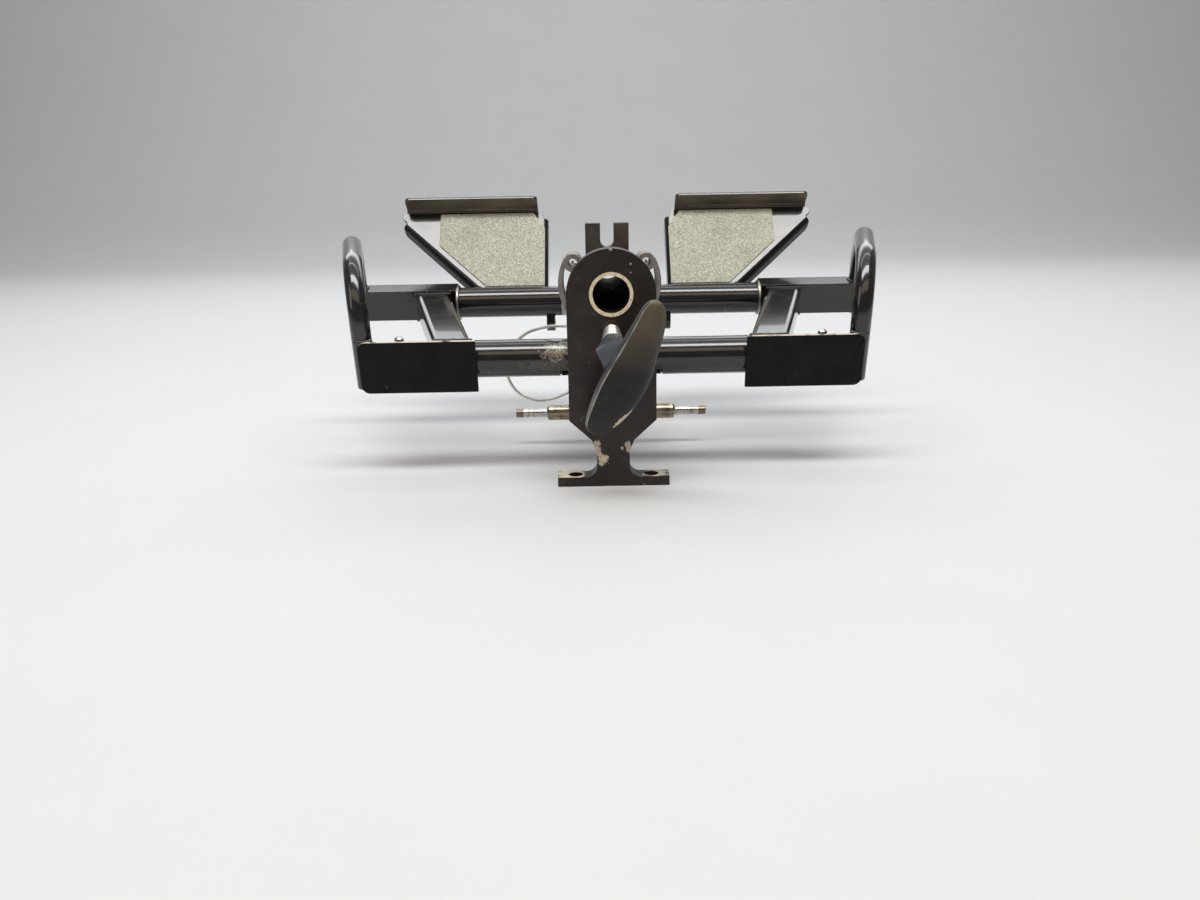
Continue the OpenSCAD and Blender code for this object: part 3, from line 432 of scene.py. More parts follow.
finishes = {name: (paint(name, False), paint(name, True)) for name in paintFacts}
finishes.update({name: (metal(name),) for name in metalFacts})
finishes.update({"spindleMetal": (spindleMetal(),), "tubeMetal": (tubeMetal(),),
                 "gritSheet": (gritSheet(),), "neckPaintAndReflection": (neckPaintAndReflection(),),
                 "slidePlastic": (slidePlastic(),)})
gloss, glossEdge = finishes["frameBlack"]
satin = finishes["heelBlack"][0]
# the lip's inner face takes the brown painted reflection
finishes["plateBlack"] = (gloss, lipRubAndReflection(), satin, glossEdge)
# the grip's crease is pale, partly a painted highlight, and its side strip takes the neck's bluish painted
# reflection
finishes["gripPlastic"] = (gripPlastic(), gripCreaseWearAndHighlight(), *finishes["neckPaintAndReflection"])
print("finishes mixed:", len(finishes))


# each moving group's own frame: its place, then its turns in degrees
hinges = {joint["name"]: joint["pos_m"] for joint in frame["joints"] if joint["type"] == "hinge"}


def seat(place, yaw=0.0, tilt=0.0, roll=0.0):
    turn = Matrix.Translation(place)
    for angle, axis in ((yaw, "Z"), (tilt, "X"), (roll, "Y")):
        turn = turn @ Matrix.Rotation(math.radians(angle), 4, axis)
    return turn


pedalTurn = seat((0, *hinges["right_pedal_swing"][1:]), tilt=10)
brakeTurn = seat((0, *hinges["right_brake_swing"][1:]), tilt=-38)
handleTurn = seat((0, -0.0074, 0.098), yaw=1, tilt=26, roll=18)
stillTurn = Matrix.Identity(4)
mirrorX = Matrix.Scale(-1.0, 4, (1.0, 0.0, 0.0))
sideTurns = (("left", mirrorX), ("right", stillTurn))


# mesh helpers
def addObject(name, mesh, materials):
    mesh.name = name
    mesh.materials.clear()
    for material in materials:
        mesh.materials.append(material)
    made = bpy.data.objects.new(name, mesh)
    scene.collection.objects.link(made)
    return made


def flatten(made):
    # the evaluated shape as a plain mesh, with every modifier gone
    bpy.context.view_layer.update()
    mesh = bpy.data.meshes.new_from_object(made.evaluated_get(bpy.context.evaluated_depsgraph_get()))
    made.modifiers.clear()
    made.data = mesh
    return made


def shade(mesh, angle):
    mesh.shade_smooth()
    mesh.set_sharp_from_angle(angle=math.radians(angle))


def shell(rings, turn):
    # closed skin over rings of points in mm
    sides = len(rings[0])
    verts = [turn @ (Vector(p) * mm) for ring in rings for p in ring]
    faces = []
    for i in range(len(rings) - 1):
        here, there = i * sides, (i + 1) * sides
        for j in range(sides):
            after = (j + 1) % sides
            faces.append((here + j, here + after, there + after, there + j))
    faces += [tuple(range(sides - 1, -1, -1)), tuple(range(len(verts) - sides, len(verts)))]
    mesh = bpy.data.meshes.new("shell")
    mesh.from_pydata(verts, [], faces)
    return outward(mesh)


def outward(mesh):
    work = bmesh.new()
    work.from_mesh(mesh)
    bmesh.ops.remove_doubles(work, verts=work.verts, dist=1e-7)
    bmesh.ops.recalc_face_normals(work, faces=work.faces)
    work.to_mesh(mesh)
    work.free()
    return mesh


def smoothPath(points, steps):
    # the same spline as the part's source runs through its routes
    p = [np.array(q, float) for q in points]
    made = []
    for i in range(len(p) - 1):
        a, b, c, d = p[max(0, i - 1)], p[i], p[i + 1], p[min(len(p) - 1, i + 2)]
        for k in range(steps):
            t = k / steps
            made.append(0.5 * (2 * b + (c - a) * t + (2 * a - 5 * b + 4 * c - d) * t ** 2
                               + (3 * b - a - 3 * c + d) * t ** 3))
    return made + [p[-1]]


def rodRings(path, radius, sides, soften=0.0):
    # rings along a path, turned as little as they can be, with softened ends
    path = [Vector(p) for p in path]
    heads = [(path[min(i + 1, len(path) - 1)] - path[max(i - 1, 0)]).normalized() for i in range(len(path))]
    side = heads[0].orthogonal().normalized()
    rings = []
    for i, (point, head) in enumerate(zip(path, heads)):
        if i:
            side = heads[i - 1].rotation_difference(head) @ side
        up = head.cross(side)
        ring = [point + radius * (math.cos(a) * side + math.sin(a) * up)
                for a in (2 * math.pi * j / sides for j in range(sides))]
        if soften and i in (0, len(path) - 1):
            sign = 1 if i == 0 else -1
            small = [point + (q - point) * (1 - soften / radius) for q in ring]
            ring = [q + head * sign * soften for q in ring]
            rings += [small, ring] if i == 0 else [ring, small]
        else:
            rings.append(ring)
    return rings


def settle(made, body, slotName, *nodes):
    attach(made, body)
    if nodes:
        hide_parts(*nodes)
    return made


# geometry trees: wound strands, weld beads, grit
def newTree(name, sockets):
    tree = bpy.data.node_groups.new(name, "GeometryNodeTree")
    tree.interface.new_socket(name="Geometry", in_out="INPUT", socket_type="NodeSocketGeometry")
    tree.interface.new_socket(name="Geometry", in_out="OUTPUT", socket_type="NodeSocketGeometry")
    for socketName, kind in sockets:
        tree.interface.new_socket(name=socketName, in_out="INPUT", socket_type="NodeSocket" + kind)
    web = Web(tree)
    entry = tree.nodes.new("NodeGroupInput")
    given = {socket.name: Wire(web, socket) for socket in entry.outputs if socket.name}
    return tree, web, given


def closeTree(tree, web, shape, material):
    real = web.node("GeometryNodeRealizeInstances", None, {0: shape})
    done = web.node("GeometryNodeSetMaterial", None, {"Geometry": real, "Material": material})
    tree.links.new(done.socket, tree.nodes.new("NodeGroupOutput").inputs[0])
    return tree


def evenLine(web, given):
    # the edges as a curve, with points at even steps
    curve = web.node("GeometryNodeMeshToCurve", None, {0: given["Geometry"]})
    return web.node("GeometryNodeResampleCurve", {"mode": "LENGTH"}, {
        "Curve": curve, "Length": given["Step"]})


def windTree():
    # strands wound about a path: a cable's lay, or a coil spring
    tree, web, given = newTree("wound", [
        ("Strands", "Int"), ("Radius", "Float"), ("Strand", "Float"), ("Pitch", "Float"),
        ("Step", "Float"), ("Sides", "Int"), ("Material", "Material")])
    curve = evenLine(web, given)
    copies = web.tree.nodes.new("GeometryNodeDuplicateElements")
    copies.domain = "SPLINE"
    tree.links.new(curve.socket, copies.inputs["Geometry"])
    tree.links.new(given["Strands"].socket, copies.inputs["Amount"])
    along = web.node("GeometryNodeSplineParameter", out="Length")
    share = Wire(web, copies.outputs["Duplicate Index"]) / given["Strands"]
    turn = (share + along / given["Pitch"]) * (2 * math.pi)
    normal = web.node("GeometryNodeInputNormal")
    tangent = web.node("GeometryNodeInputTangent")
    across = web.node("ShaderNodeVectorMath", {"operation": "CROSS_PRODUCT"}, {0: tangent, 1: normal})
    arms = []
    for axis, operation in ((normal, "COSINE"), (across, "SINE")):
        reach = web.node("ShaderNodeMath", {"operation": operation}, {0: turn}) * given["Radius"]
        arms.append(web.node("ShaderNodeVectorMath", {"operation": "SCALE"}, {0: axis, "Scale": reach}))
    offset = web.node("ShaderNodeVectorMath", {"operation": "ADD"}, {0: arms[0], 1: arms[1]})
    wound = web.node("GeometryNodeSetPosition", None, {
        "Geometry": Wire(web, copies.outputs["Geometry"]), "Offset": offset})
    ring = web.node("GeometryNodeCurvePrimitiveCircle", None, {
        "Resolution": given["Sides"], "Radius": given["Strand"]})
    skin = web.node("GeometryNodeCurveToMesh", None, {
        "Curve": wound, "Profile Curve": ring, "Fill Caps": True})
    return closeTree(tree, web, skin, given["Material"])


def beadTree():
    # overlapping lumps along a path, as a hand-laid weld
    tree, web, given = newTree("beads", [
        ("Step", "Float"), ("Size", "Float"), ("Seed", "Int"), ("Material", "Material")])
    curve = evenLine(web, given)
    lump = web.node("GeometryNodeMeshIcoSphere", None, {"Radius": given["Size"], "Subdivisions": 2})
    lump = web.node("GeometryNodeSetShadeSmooth", None, {"Geometry": lump})
    size = web.node("FunctionNodeRandomValue", {"data_type": "FLOAT_VECTOR"}, {
        0: (0.85, 0.85, 0.8), 1: (1.2, 1.15, 1.1), "Seed": given["Seed"]})
    tangent = web.node("GeometryNodeInputTangent")
    aim = web.node("FunctionNodeAlignRotationToVector", {"axis": "X"}, {"Vector": tangent})
    lumps = web.node("GeometryNodeInstanceOnPoints", None, {
        "Points": curve, "Instance": lump, "Rotation": aim, "Scale": size})
    return closeTree(tree, web, lumps, given["Material"])


def gritTree():
    # small pointed grains scattered over the sheet's faces
    tree, web, given = newTree("grit", [
        ("Spacing", "Float"), ("Density", "Float"), ("Size", "Float"), ("Seed", "Int"),
        ("Material", "Material")])
    scatter = tree.nodes.new("GeometryNodeDistributePointsOnFaces")
    scatter.distribute_method = "POISSON"
    fed = {"Mesh": "Geometry", "Distance Min": "Spacing", "Density Max": "Density", "Seed": "Seed"}
    for name, key in fed.items():
        tree.links.new(given[key].socket, scatter.inputs[name])
    grain = web.node("GeometryNodeMeshIcoSphere", None, {"Radius": given["Size"], "Subdivisions": 1})
    size = web.node("FunctionNodeRandomValue", {"data_type": "FLOAT_VECTOR"}, {
        0: (0.6, 0.6, 0.5), 1: (1.5, 1.5, 1.2), "Seed": given["Seed"]})
    turn = web.node("FunctionNodeRandomValue", {"data_type": "FLOAT_VECTOR"}, {
        0: (0.0, 0.0, 0.0), 1: (6.28, 6.28, 6.28), "Seed": given["Seed"] + 7})
    grains = web.node("GeometryNodeInstanceOnPoints", None, {
        "Points": Wire(web, scatter.outputs["Points"]), "Instance": grain, "Rotation": turn, "Scale": size})
    return closeTree(tree, web, grains, given["Material"])


trees = {"wound": windTree(), "beads": beadTree(), "grit": gritTree()}


def grow(made, treeName, values):
    # runs a tree on an object and keeps the result as its mesh
    tree = trees[treeName]
    modifier = made.modifiers.new(treeName, "NODES")
    modifier.node_group = tree
    for item in tree.interface.items_tree:
        if item.in_out == "INPUT" and item.name in values:
            modifier[item.identifier] = values[item.name]
    return flatten(made)


def line(name, paths, turn=stillTurn):
    # edges along one or more paths in mm, for a tree to follow
    verts, edges = [], []
    for path in paths:
        first = len(verts)
        verts += [turn @ (Vector(p) * mm) for p in path]
        edges += [(i, i + 1) for i in range(first, len(verts) - 1)]
    mesh = bpy.data.meshes.new(name)
    mesh.from_pydata(verts, edges, [])
    made = bpy.data.objects.new(name, mesh)
    scene.collection.objects.link(made)
    return made


print("geometry trees built:", len(trees))


# release cable: out of the gland, round one slack loop, back to the lock's clamp
cableFacts = {
    "route": [(0, -5.0, 98), (0, 2, 98), (-3, 10.5, 97.7), (-14, 14, 96), (-28, 26, 95), (-40, 44, 92),
              (-55, 57, 86), (-67, 59, 75), (-70.5, 60, 63), (-65, 60, 48), (-52, 61, 40), (-38, 61, 41),
              (-24, 62, 47), (-22, 62, 47.8)],
    "tail": [(-22, 62, 47.8), (-13, 62, 51.5), (-4.1, 62, 54), (-1.5, 62, 54.6)],
    "stub": [(0, -11.0, 97.0), (0, -9.0, 97.8), (0, -7.0, 98), (0, 5.5, 98)],
    "diameter": 2.0, "strands": 6, "strand": 0.37, "pitch": 9.0, "step": 0.6, "sides": 6, "split": 8,
    # the crimped sleeve where loop and tail meet: radius, half length, sides, softened ends
    "sleeve": 2.1, "sleeveHalf": 3.5, "sleeveSides": 20, "sleeveSoft": 0.5,
    "stubShrink": 0.94,
}


def stranded(name, route, shrink=1.0):
    path = smoothPath(route, cableFacts["split"])
    made = line(name, [path])
    offset = (cableFacts["diameter"] / 2 - cableFacts["strand"]) * mm * shrink
    grow(made, "wound", {
        "Strands": cableFacts["strands"], "Radius": offset, "Strand": cableFacts["strand"] * mm * shrink,
        "Pitch": cableFacts["pitch"] * mm, "Step": cableFacts["step"] * mm, "Sides": cableFacts["sides"],
        "Material": finishes["cableSteel"][0]})
    shade(made.data, 60)
    return made, [tuple(c * mm for c in p) for p in path]


def pathLength(path):
    return sum((Vector(b) - Vector(a)).length for a, b in zip(path, path[1:]))


def makeCable():
    cable, path = stranded("releaseCable", cableFacts["route"])
    tail, tailPath = stranded("releaseCableTail", cableFacts["tail"])
    stub = stranded("releaseCableStub", cableFacts["stub"], cableFacts["stubShrink"])[0]
    joint, beyond = (Vector(p) for p in cableFacts["tail"][:2])
    half = (beyond - joint).normalized() * cableFacts["sleeveHalf"]
    tube = rodRings([joint - half, joint, joint + half], cableFacts["sleeve"],
                    cableFacts["sleeveSides"], cableFacts["sleeveSoft"])
    sleeve = addObject("cableSleeve", shell(tube, stillTurn), finishes["screwSteel"])
    shade(sleeve.data, 35)
    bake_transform(cable)
    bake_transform(tail)
    settle(stub, "handle", "bare_steel")
    settle(sleeve, "sled", "bare_steel")
    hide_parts("release_cable")
    lengths = (pathLength(path) / mm, pathLength(tailPath) / mm)
    print("cable laid: %.1f mm of loop, %.1f mm of tail" % lengths)


makeCable()


# machined and welded parts: the CAD shape with broken edges
partFacts = {
    # node: (body, edge in mm, finish, slot)
    "rear_bracket": ("mount", 0.7, "bracketBrown", "bracket_paint"),
    "front_bracket": ("mount", 0.7, "forkBrown", "bracket_paint"),
    "sled_tube": ("mount", 0.35, "tubeMetal", "bracket_paint"),
    "tube_grub_screws": ("mount", 0.3, "screwSteel", "bare_steel"),
    "cable_gland": ("mount", 0.25, "glandBrownAndShade", "bronze"),
    "sled_housing": ("sled", 0.6, "frameBlack", "frame_paint"),
    "rear_slide_bush": ("sled", 0.3, "slidePlastic", "slide_plastic"),
    "front_slide_bush": ("sled", 0.3, "slidePlastic", "slide_plastic"),
    "pivot_axle": ("sled", 0.6, "axleSteel", "bare_steel"),
    "axle_cross_pin": ("sled", 0.4, "axleSteel", "bare_steel"),
    "linkage_spindle": ("sled", 0.45, "spindleMetal", "bronze"),
    "spring_clip_left": ("sled", 0.3, "clipPlate", "plated_steel"),
    "spring_clip_right": ("sled", 0.3, "clipPlate", "plated_steel"),
    "clip_screws": ("sled", 0.3, "screwSteel", "bare_steel"),
    "plunger_cap": ("sled", 0.3, "axleSteel", "bare_steel"),
    "lock_plunger": ("lock", 0.3, "axleSteel", "bare_steel"),
    "cable_clamp": ("lock", 0.4, "axleSteel", "bare_steel"),
    "handle_ferrule": ("handle", 0.3, "ferruleSteel", "bare_steel"),
}
sideFacts = {
    "pivot_tube": ("pedal", 0.5, "frameBlack", "frame_paint"),
    "heel_plate": ("pedal", 0.7, "heelBlack", "frame_paint"),
    "arm": ("pedal", 0.5, "frameBlack", "frame_paint"),
    "back_bar": ("pedal", 0.9, "frameBlack", "frame_paint"),
    "brake_axle": ("pedal", 0.5, "axleSteel", "bare_steel"),
    "inner_pivot_bush": ("pedal", 0.3, "ringBronze", "bronze"),
    "outer_pivot_bush": ("pedal", 0.3, "ringBronze", "bronze"),
    "retaining_screw": ("pedal", 0.15, "screwSteel", "bare_steel"),
    "brake_washer": ("pedal", 0.2, "clipPlate", "bare_steel"),
    "stop_collar": ("pedal", 0.3, "axleSteel", "bare_steel"),
    "brake_tube": ("brake", 0.5, "frameBlack", "frame_paint"),
    "brake_plate": ("brake", 0.35, "plateBlack", "frame_paint"),
    "brake_lever": ("brake", 0.5, "frameBlack", "frame_paint"),
    "brake_bushes": ("brake", 0.3, "ringBronze", "bronze"),
}
for side in ("left", "right"):
    for part, (body, *rest) in sideFacts.items():
        partFacts[part + "_" + side] = (side + "_" + body, *rest)


def spell(node):
    head, *tail = node.split("_")
    return head + "".join(word.capitalize() for word in tail)


# how near points are one, how short an edge is none, and how flat faces are one
cleanFacts = {"weld": 2e-6, "thin": 1e-6, "flat": math.radians(0.4)}


def cleanCopy(node):
    # a left piece is its right twin seen in a mirror, so both sides bevel alike
    mesh = frame["nodes"][node.replace("_left", "_right")].data.copy()
    if mesh.has_custom_normals and "custom_normal" in mesh.attributes:
        mesh.attributes.remove(mesh.attributes["custom_normal"])
    work = bmesh.new()
    work.from_mesh(mesh)
    bmesh.ops.remove_doubles(work, verts=work.verts, dist=cleanFacts["weld"])
    bmesh.ops.dissolve_degenerate(work, edges=work.edges, dist=cleanFacts["thin"])
    bmesh.ops.dissolve_limit(work, angle_limit=cleanFacts["flat"], verts=work.verts, edges=work.edges)
    if node.endswith("_left"):
        bmesh.ops.transform(work, matrix=mirrorX, verts=work.verts)
        bmesh.ops.reverse_faces(work, faces=work.faces)
    work.to_mesh(mesh)
    work.free()
    return mesh


def breakEdges(made, width, segments=2, angle=38):
    made.data.shade_smooth()
    bevel = made.modifiers.new("edge", "BEVEL")
    bevel.limit_method, bevel.angle_limit = "ANGLE", math.radians(angle)
    bevel.width, bevel.segments = width * mm, segments
    bevel.use_clamp_overlap = True
    bevel.material = len(made.data.materials) - 1
    weight = made.modifiers.new("flat", "WEIGHTED_NORMAL")
    weight.keep_sharp = True
    return flatten(made)


# brake plate, in its own frame in mm, with the least slope of a face that counts
plateFacts = {"lipLow": 80.2, "lipFront": -1.2, "lipSlope": 0.5, "flangeSlope": 0.3}


def markPlate(mesh, facts):
    # the lip's inner face looks back down the plate, and the slanted flange looks out and down
    inward = brakeTurn.inverted()
    for face in mesh.polygons:
        at, way = inward @ face.center / mm, inward.to_3x3() @ face.normal
        onLip = at.z > facts["lipLow"] and at.y < facts["lipFront"]
        if onLip and way.z < -facts["lipSlope"]:
            face.material_index = 1
        elif way.z < -facts["flangeSlope"] and abs(way.x) > facts["flangeSlope"]:
            face.material_index = 2


for node, (body, width, finish, slotName) in partFacts.items():
    part = addObject(spell(node), cleanCopy(node), finishes[finish])
    if finish == "plateBlack":
        markPlate(part.data, plateFacts)
    settle(breakEdges(part, width), body, slotName, node)
print("parts dressed:", len(partFacts))


# bent rods
hoopFacts = {"foot": (157.3, -5.65), "back": (183.0, 103.5), "bend": 36.0, "rise": 57.0,
             "low": -16.0, "backLow": -6.7, "radius": 6.35, "soft": 0.8,
             "sides": 48, "legSteps": 7, "bendSteps": 24, "backSteps": 5}


def hoopPath(facts):
    # up the front leg, over two bends, and down the back leg
    start, run = Vector(facts["foot"]), Vector(facts["back"]) - Vector(facts["foot"])
    span, bend, legTop = run.length, facts["bend"], facts["rise"] - facts["bend"]
    flat = [(0, z) for z in np.linspace(facts["low"], legTop, facts["legSteps"] + 1)[:-1]]
    for middle, first, last in ((bend, 180, 90), (span - bend, 90, 0)):
        for a in np.radians(np.linspace(first, last, facts["bendSteps"] + 1)):
            flat.append((middle + bend * math.cos(a), legTop + bend * math.sin(a)))
    flat += [(span, z) for z in np.linspace(legTop, facts["backLow"], facts["backSteps"] + 1)[1:]]
    return [(*(start + run.normalized() * s), z) for s, z in flat]


for side, mirror in sideTurns:
    rings = rodRings(hoopPath(hoopFacts), hoopFacts["radius"], hoopFacts["sides"], hoopFacts["soft"])
    rod = shell(rings, mirror @ pedalTurn)
    hoop = addObject("hoop" + side.capitalize(), rod, finishes["frameBlack"])
    shade(hoop.data, 40)
    settle(hoop, side + "_pedal", "frame_paint", "hoop_" + side)
print("hoops bent")


# wire from eye to eye, and the plunger's spring
wireFacts = {
    "reach": 20.6, "y": 52.6, "radius": 0.8, "soft": 0.2, "sides": 14,
    "turn": 42, "turnStep": 8, "split": 3, "eye": (23.70, 131.14),
    # each end's hook: how far in from the eye, and how far before the arc
    "hook": [(0.0, 9.4), (0.0, 3.4), (0.6, 0.5), (2.2, 0.0)],
}


def makeWire(facts):
    eyeX, eyeZ = facts["eye"]
    hook = [(eyeX - inward, facts["y"] + before, eyeZ) for inward, before in facts["hook"]]
    angles = np.radians(np.arange(facts["turn"], 181 - facts["turn"], facts["turnStep"]))
    arc = [(facts["reach"] * math.cos(a), facts["y"], tubeFacts["axis"] + facts["reach"] * math.sin(a))
           for a in angles]
    path = smoothPath(hook + arc + [(-x, y, z) for x, y, z in reversed(hook)], facts["split"])
    rings = rodRings(path, facts["radius"], facts["sides"], facts["soft"])
    wire = addObject("retainingWire", shell(rings, stillTurn), finishes["clipPlate"])
    shade(wire.data, 50)
    settle(wire, "sled", "plated_steel", "retaining_wire")


makeWire(wireFacts)

springFacts = {"low": 70.8, "high": 83.6, "turns": 5, "coil": 5.0, "wire": 0.6, "y": 62.0,
               "points": 20, "turnSteps": 28, "sides": 10}


def makeSpring(facts):
    heights = np.linspace(facts["low"], facts["high"], facts["points"])
    spring = line("plungerSpring", [[(0, facts["y"], z) for z in heights]])
    pitch = (facts["high"] - facts["low"]) / facts["turns"]
    grow(spring, "wound", {
        "Strands": 1, "Radius": facts["coil"] * mm, "Strand": facts["wire"] * mm, "Pitch": pitch * mm,
        "Step": pitch / facts["turnSteps"] * mm, "Sides": facts["sides"],
        "Material": finishes["screwSteel"][0]})
    shade(spring.data, 60)
    settle(spring, "sled", "bare_steel", "plunger_spring")
    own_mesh(spring)


makeSpring(springFacts)
print("wire and spring wound")


# release handle: a leaf-shaped grip on a four-sided neck
handleFacts = {
    "out": -40.0,
    # along, the middle's shift, half width, half thickness
    "sections": [(-47.9, 5.4, 2.0, 1.8), (-46.6, 4.9, 5.6, 3.4), (-43.5, 4.3, 8.3, 4.8),
                 (-37, 4.9, 10.2, 6.0), (-27, 6.4, 12.3, 7.1), (-17, 7.4, 13.6, 7.8),
                 (-8, 8.2, 14.1, 7.9), (2, 8.7, 13.4, 7.9), (12, 8.8, 12.0, 7.8),
                 (23, 9.0, 10.5, 7.5), (34, 9.0, 9.0, 6.6), (43, 8.3, 7.3, 5.4),
                 (47.2, 7.7, 5.2, 4.0), (49.1, 7.4, 2.9, 2.5), (49.6, 7.3, 1.2, 1.1)],
    # across and through, from the left edge over the front to the right and back
    "outline": [(-1.0, 0.30), (-1.0, -0.08), (-0.93, -0.46), (-0.885, -0.53), (-0.46, -0.84),
                (0.05, -0.95), (0.50, -0.88), (0.84, -0.58), (1.0, -0.08), (0.94, 0.40),
                (0.62, 0.80), (0.0, 1.0), (-0.62, 0.80)],
    # how sharp the outline's points stay, and the strips between points that take another finish: the pale
    # crease, partly a painted highlight, and the bluish side, a painted reflection
    "creases": {1: 0.5, 2: 0.7, 3: 0.7}, "strips": [(2, 3), (1, 2)], "levels": 3,
    # out, the middle's shift, half width, half height, and how four-sided it is
    "neck": [(-13.1, 0.0, 6.2, 6.2, 2.0), (-15, 0.0, 6.9, 7.1, 1.7), (-20, 0.0, 8.7, 9.9, 1.2),
             (-25.5, 0.0, 10.4, 13.0, 1.02), (-32, 1.8, 10.0, 14.6, 1.04), (-38.5, 4.2, 9.4, 13.6, 1.1)],
    "around": 64, "neckSplit": 4,
}


def makeGrip(facts):
    rings = [[(shift + x * w, facts["out"] + y * h, z) for x, y in facts["outline"]]
             for z, shift, w, h in facts["sections"]]
    mesh = shell(rings, handleTurn)
    grip = addObject("handleGrip", mesh, finishes["gripPlastic"])
    sides = len(facts["outline"])
    crease = mesh.attributes.new("crease_edge", "FLOAT", "EDGE")
    for edge in mesh.edges:
        a, b = sorted(edge.vertices)
        if b - a == sides and a % sides in facts["creases"]:
            crease.data[edge.index].value = facts["creases"][a % sides]
    for face in mesh.polygons:
        column = tuple(sorted({v % sides for v in face.vertices}))
        if column in facts["strips"]:
            face.material_index = 1 + facts["strips"].index(column)
    smooth = grip.modifiers.new("smooth", "SUBSURF")
    smooth.levels = smooth.render_levels = facts["levels"]
    flatten(grip)
    grip.data.shade_smooth()
    settle(grip, "handle", "grip_plastic", "handle_grip")


def makeNeck(facts):
    rings = []
    for along, shift, halfX, halfZ, power in facts["neck"]:
        ring = []
        for a in np.linspace(0, 2 * math.pi, facts["around"], endpoint=False):
            c, s = math.cos(a), math.sin(a)
            size = (abs(c) ** power + abs(s) ** power) ** (-1.0 / power)
            ring.append((shift + halfX * size * c, along, halfZ * size * s))
        rings.append(ring)
    fine = [smoothPath(run, facts["neckSplit"]) for run in zip(*rings)]
    mesh = shell([list(ring) for ring in zip(*fine)], handleTurn)
    neck = addObject("handleNeck", mesh, finishes["neckPaintAndReflection"])
    shade(neck.data, 28)
    settle(neck, "handle", "grip_plastic")


makeGrip(handleFacts)
makeNeck(handleFacts)

threadFacts = {"from": -2.7, "to": -12.6, "radius": 4.72, "flare": 0.148, "ridge": 0.17, "pitch": 1.35,
               "steps": 8, "sides": 40}


def makeThread(facts):
    # ridges turned on the ferrule's cone
    count = int((facts["from"] - facts["to"]) / facts["pitch"] * facts["steps"])
    angles = np.linspace(0, 2 * math.pi, facts["sides"], endpoint=False)
    rings = []
    for y in np.linspace(facts["from"], facts["to"], count):
        ridge = facts["ridge"] * math.cos(2 * math.pi * y / facts["pitch"])
        r = facts["radius"] + facts["flare"] * (facts["from"] - y) + ridge
        rings.append([(r * math.cos(a), y, r * math.sin(a)) for a in angles])
    thread = addObject("ferruleThread", shell(rings, handleTurn), finishes["ferruleSteel"])
    shade(thread.data, 50)
    settle(thread, "handle", "bare_steel")


makeThread(threadFacts)
print("handle shaped")


# weld runs, in the pedal's or the brake's own frame, for the right side
weldFacts = {"step": 1.5, "size": 1.25, "seed": 11}


def arcRun(centre, radius, z, start, stop, count=14):
    return [(centre[0] + radius * math.cos(a), centre[1] + radius * math.sin(a), z)
            for a in np.radians(np.linspace(start, stop, count))]


def straightRun(a, b, count=24):
    return [tuple(Vector(a).lerp(Vector(b), t)) for t in np.linspace(0, 1, count)]


pedalWelds = [
    # heel plate to pivot tube, then to hoop
    straightRun((86, -11.4, 5.6), (149, -11.4, 5.6)),
    straightRun((86, -11.4, -5.6), (149, -11.4, -5.6)),
    straightRun((151.6, -10.9, -14), (151.6, -10.9, 15.5)),
    arcRun(hoopFacts["foot"], 6.6, 16.6, 205, 300),
    # arm to pivot tube, then to back bar
    straightRun((90.6, 6.4, 10.6), (114.0, 6.4, 10.6)),
    straightRun((90.6, 6.9, -9.9), (114.0, 6.9, -9.9)),
    straightRun((115.6, 94.2, 15.0), (140.0, 94.2, 15.0)),
    straightRun((115.4, 94.2, -4.6), (139.8, 94.2, -4.6)),
    # hoop to back bar
    arcRun(hoopFacts["back"], 6.5, 17.3, 95, 265),
    arcRun(hoopFacts["back"], 6.5, -4.7, 95, 265),
]
# both sides of the plate, along the brake tube
brakeWelds = [straightRun((49, y, 10.9), (90, y, 10.9)) for y in (-1.9, 1.9)]

for side, mirror in sideTurns:
    for body, turn, runs in (("pedal", pedalTurn, pedalWelds), ("brake", brakeTurn, brakeWelds)):
        weld = line(body + "Welds" + side.capitalize(), runs, mirror @ turn)
        grow(weld, "beads", {"Step": weldFacts["step"] * mm, "Size": weldFacts["size"] * mm,
                             "Seed": weldFacts["seed"], "Material": gloss})
        weld.data.shade_smooth()
        settle(weld, side + "_" + body, "frame_paint")
print("welds laid")


# grit sheets, with real grains on the face
gritFacts = {"spacing": 0.62, "size": 0.2, "density": 4.5e6, "seed": 5, "edge": 0.25}


def makeGrit(side):
    node = "grip_pad_" + side
    sheet = addObject("gripPad" + side.capitalize(), cleanCopy(node), finishes["gritSheet"])
    breakEdges(sheet, gritFacts["edge"], 1)
    face = max(sheet.data.polygons, key=lambda p: p.area * (p.normal.y < 0))
    corners = [sheet.data.vertices[v].co for v in face.vertices]
    grains = bpy.data.meshes.new("grains")
    grains.from_pydata(corners, [], [tuple(range(len(corners)))])
    made = addObject("gripGrains" + side.capitalize(), grains, [])
    grow(made, "grit", {
        "Spacing": gritFacts["spacing"] * mm, "Density": gritFacts["density"],
        "Size": gritFacts["size"] * mm, "Seed": gritFacts["seed"], "Material": finishes["gritSheet"][0]})
    settle(sheet, side + "_brake", "grit_sheet", node)
    settle(made, side + "_brake", "grit_sheet")
    return len(made.data.polygons)


print("grit laid:", makeGrit("left"), makeGrit("right"), "faces")


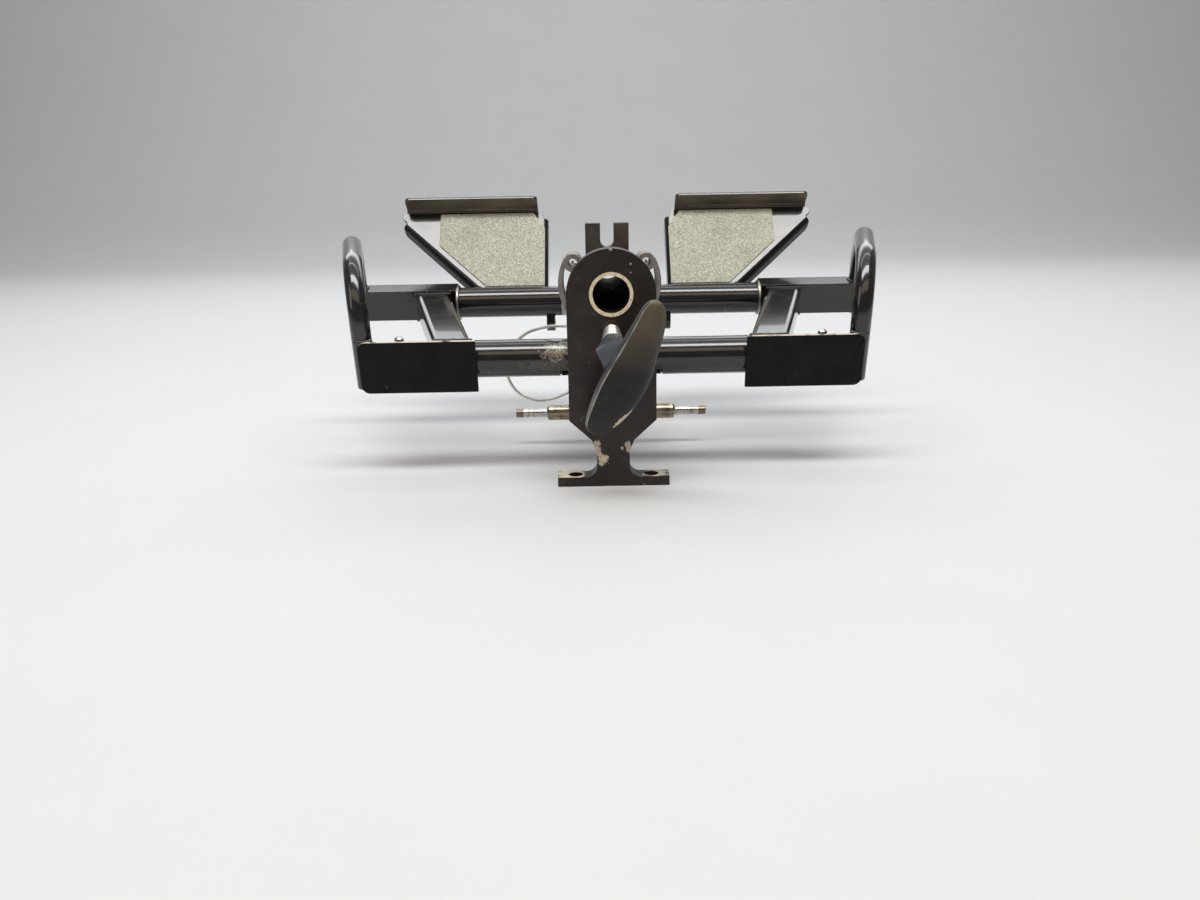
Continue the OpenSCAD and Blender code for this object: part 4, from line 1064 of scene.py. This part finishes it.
# pale floor that sweeps up behind, and soft light from above
stageFacts = {"half": 5.0, "front": -4.0, "turn": 1.5, "sweep": 0.9, "top": 3.2, "steps": 18}
lampFacts = {
    # name: (place, aim, width, depth, watts, colour)
    "overhead": ((0.0, -0.36, 1.5), (0.0, 0.05, 0.08), 1.7, 0.38, 23.0, (1.0, 0.985, 0.96)),
    "sky": ((0.0, 0.75, 2.1), (0.0, 0.15, 0.0), 3.0, 2.0, 10.0, (0.94, 0.97, 1.0)),
    "backStrip": ((0.0, 1.20, 0.95), (0.0, 0.1, 0.1), 2.4, 0.50, 9.0, (0.95, 0.975, 1.0)),
    "warmCard": ((0.0, -1.25, 1.30), (0.0, 0.05, 0.10), 2.4, 0.60, 6.0, (1.0, 0.76, 0.52)),
    "leftFill": ((-1.5, -0.7, 0.8), (0.0, 0.05, 0.1), 0.7, 0.9, 3.0, (1.0, 0.98, 0.95)),
    "backWash": ((0.0, 0.7, 1.9), (0.0, 2.4, 0.6), 2.6, 0.40, 14.0, (0.97, 0.985, 1.0)),
}
roomFacts = {"colour": (0.93, 0.96, 1.0), "strength": 0.17}


def makeStage(facts):
    profile = [(facts["front"], 0.0), (facts["turn"], 0.0)]
    profile += [(facts["turn"] + facts["sweep"] * math.sin(a), facts["sweep"] * (1 - math.cos(a)))
                for a in np.radians(np.linspace(0, 90, facts["steps"] + 1)[1:])]
    profile.append((facts["turn"] + facts["sweep"], facts["top"]))
    verts = [(x, y, z) for y, z in profile for x in (-facts["half"], facts["half"])]
    faces = [(2 * i, 2 * i + 1, 2 * i + 3, 2 * i + 2) for i in range(len(profile) - 1)]
    mesh = bpy.data.meshes.new("floor")
    mesh.from_pydata(verts, [], faces)
    mesh.shade_smooth()
    addObject("floor", mesh, [floorPaper()])


def hangLamps(facts):
    for name, (place, aim, width, depth, watts, colour) in facts.items():
        data = bpy.data.lights.new(name, "AREA")
        data.shape, data.size, data.size_y = "RECTANGLE", width, depth
        data.energy, data.color = watts, colour
        lamp = bpy.data.objects.new(name, data)
        lamp.location = place
        lamp.rotation_euler = (Vector(aim) - Vector(place)).to_track_quat("-Z", "Y").to_euler()
        scene.collection.objects.link(lamp)
    world = bpy.data.worlds.new("room")
    scene.world = world
    world.use_nodes = True
    backdrop = world.node_tree.nodes["Background"]
    backdrop.inputs["Color"].default_value = rgba(roomFacts["colour"])
    backdrop.inputs["Strength"].default_value = roomFacts["strength"]


makeStage(stageFacts)
hangLamps(lampFacts)
print("floor and lamps set")
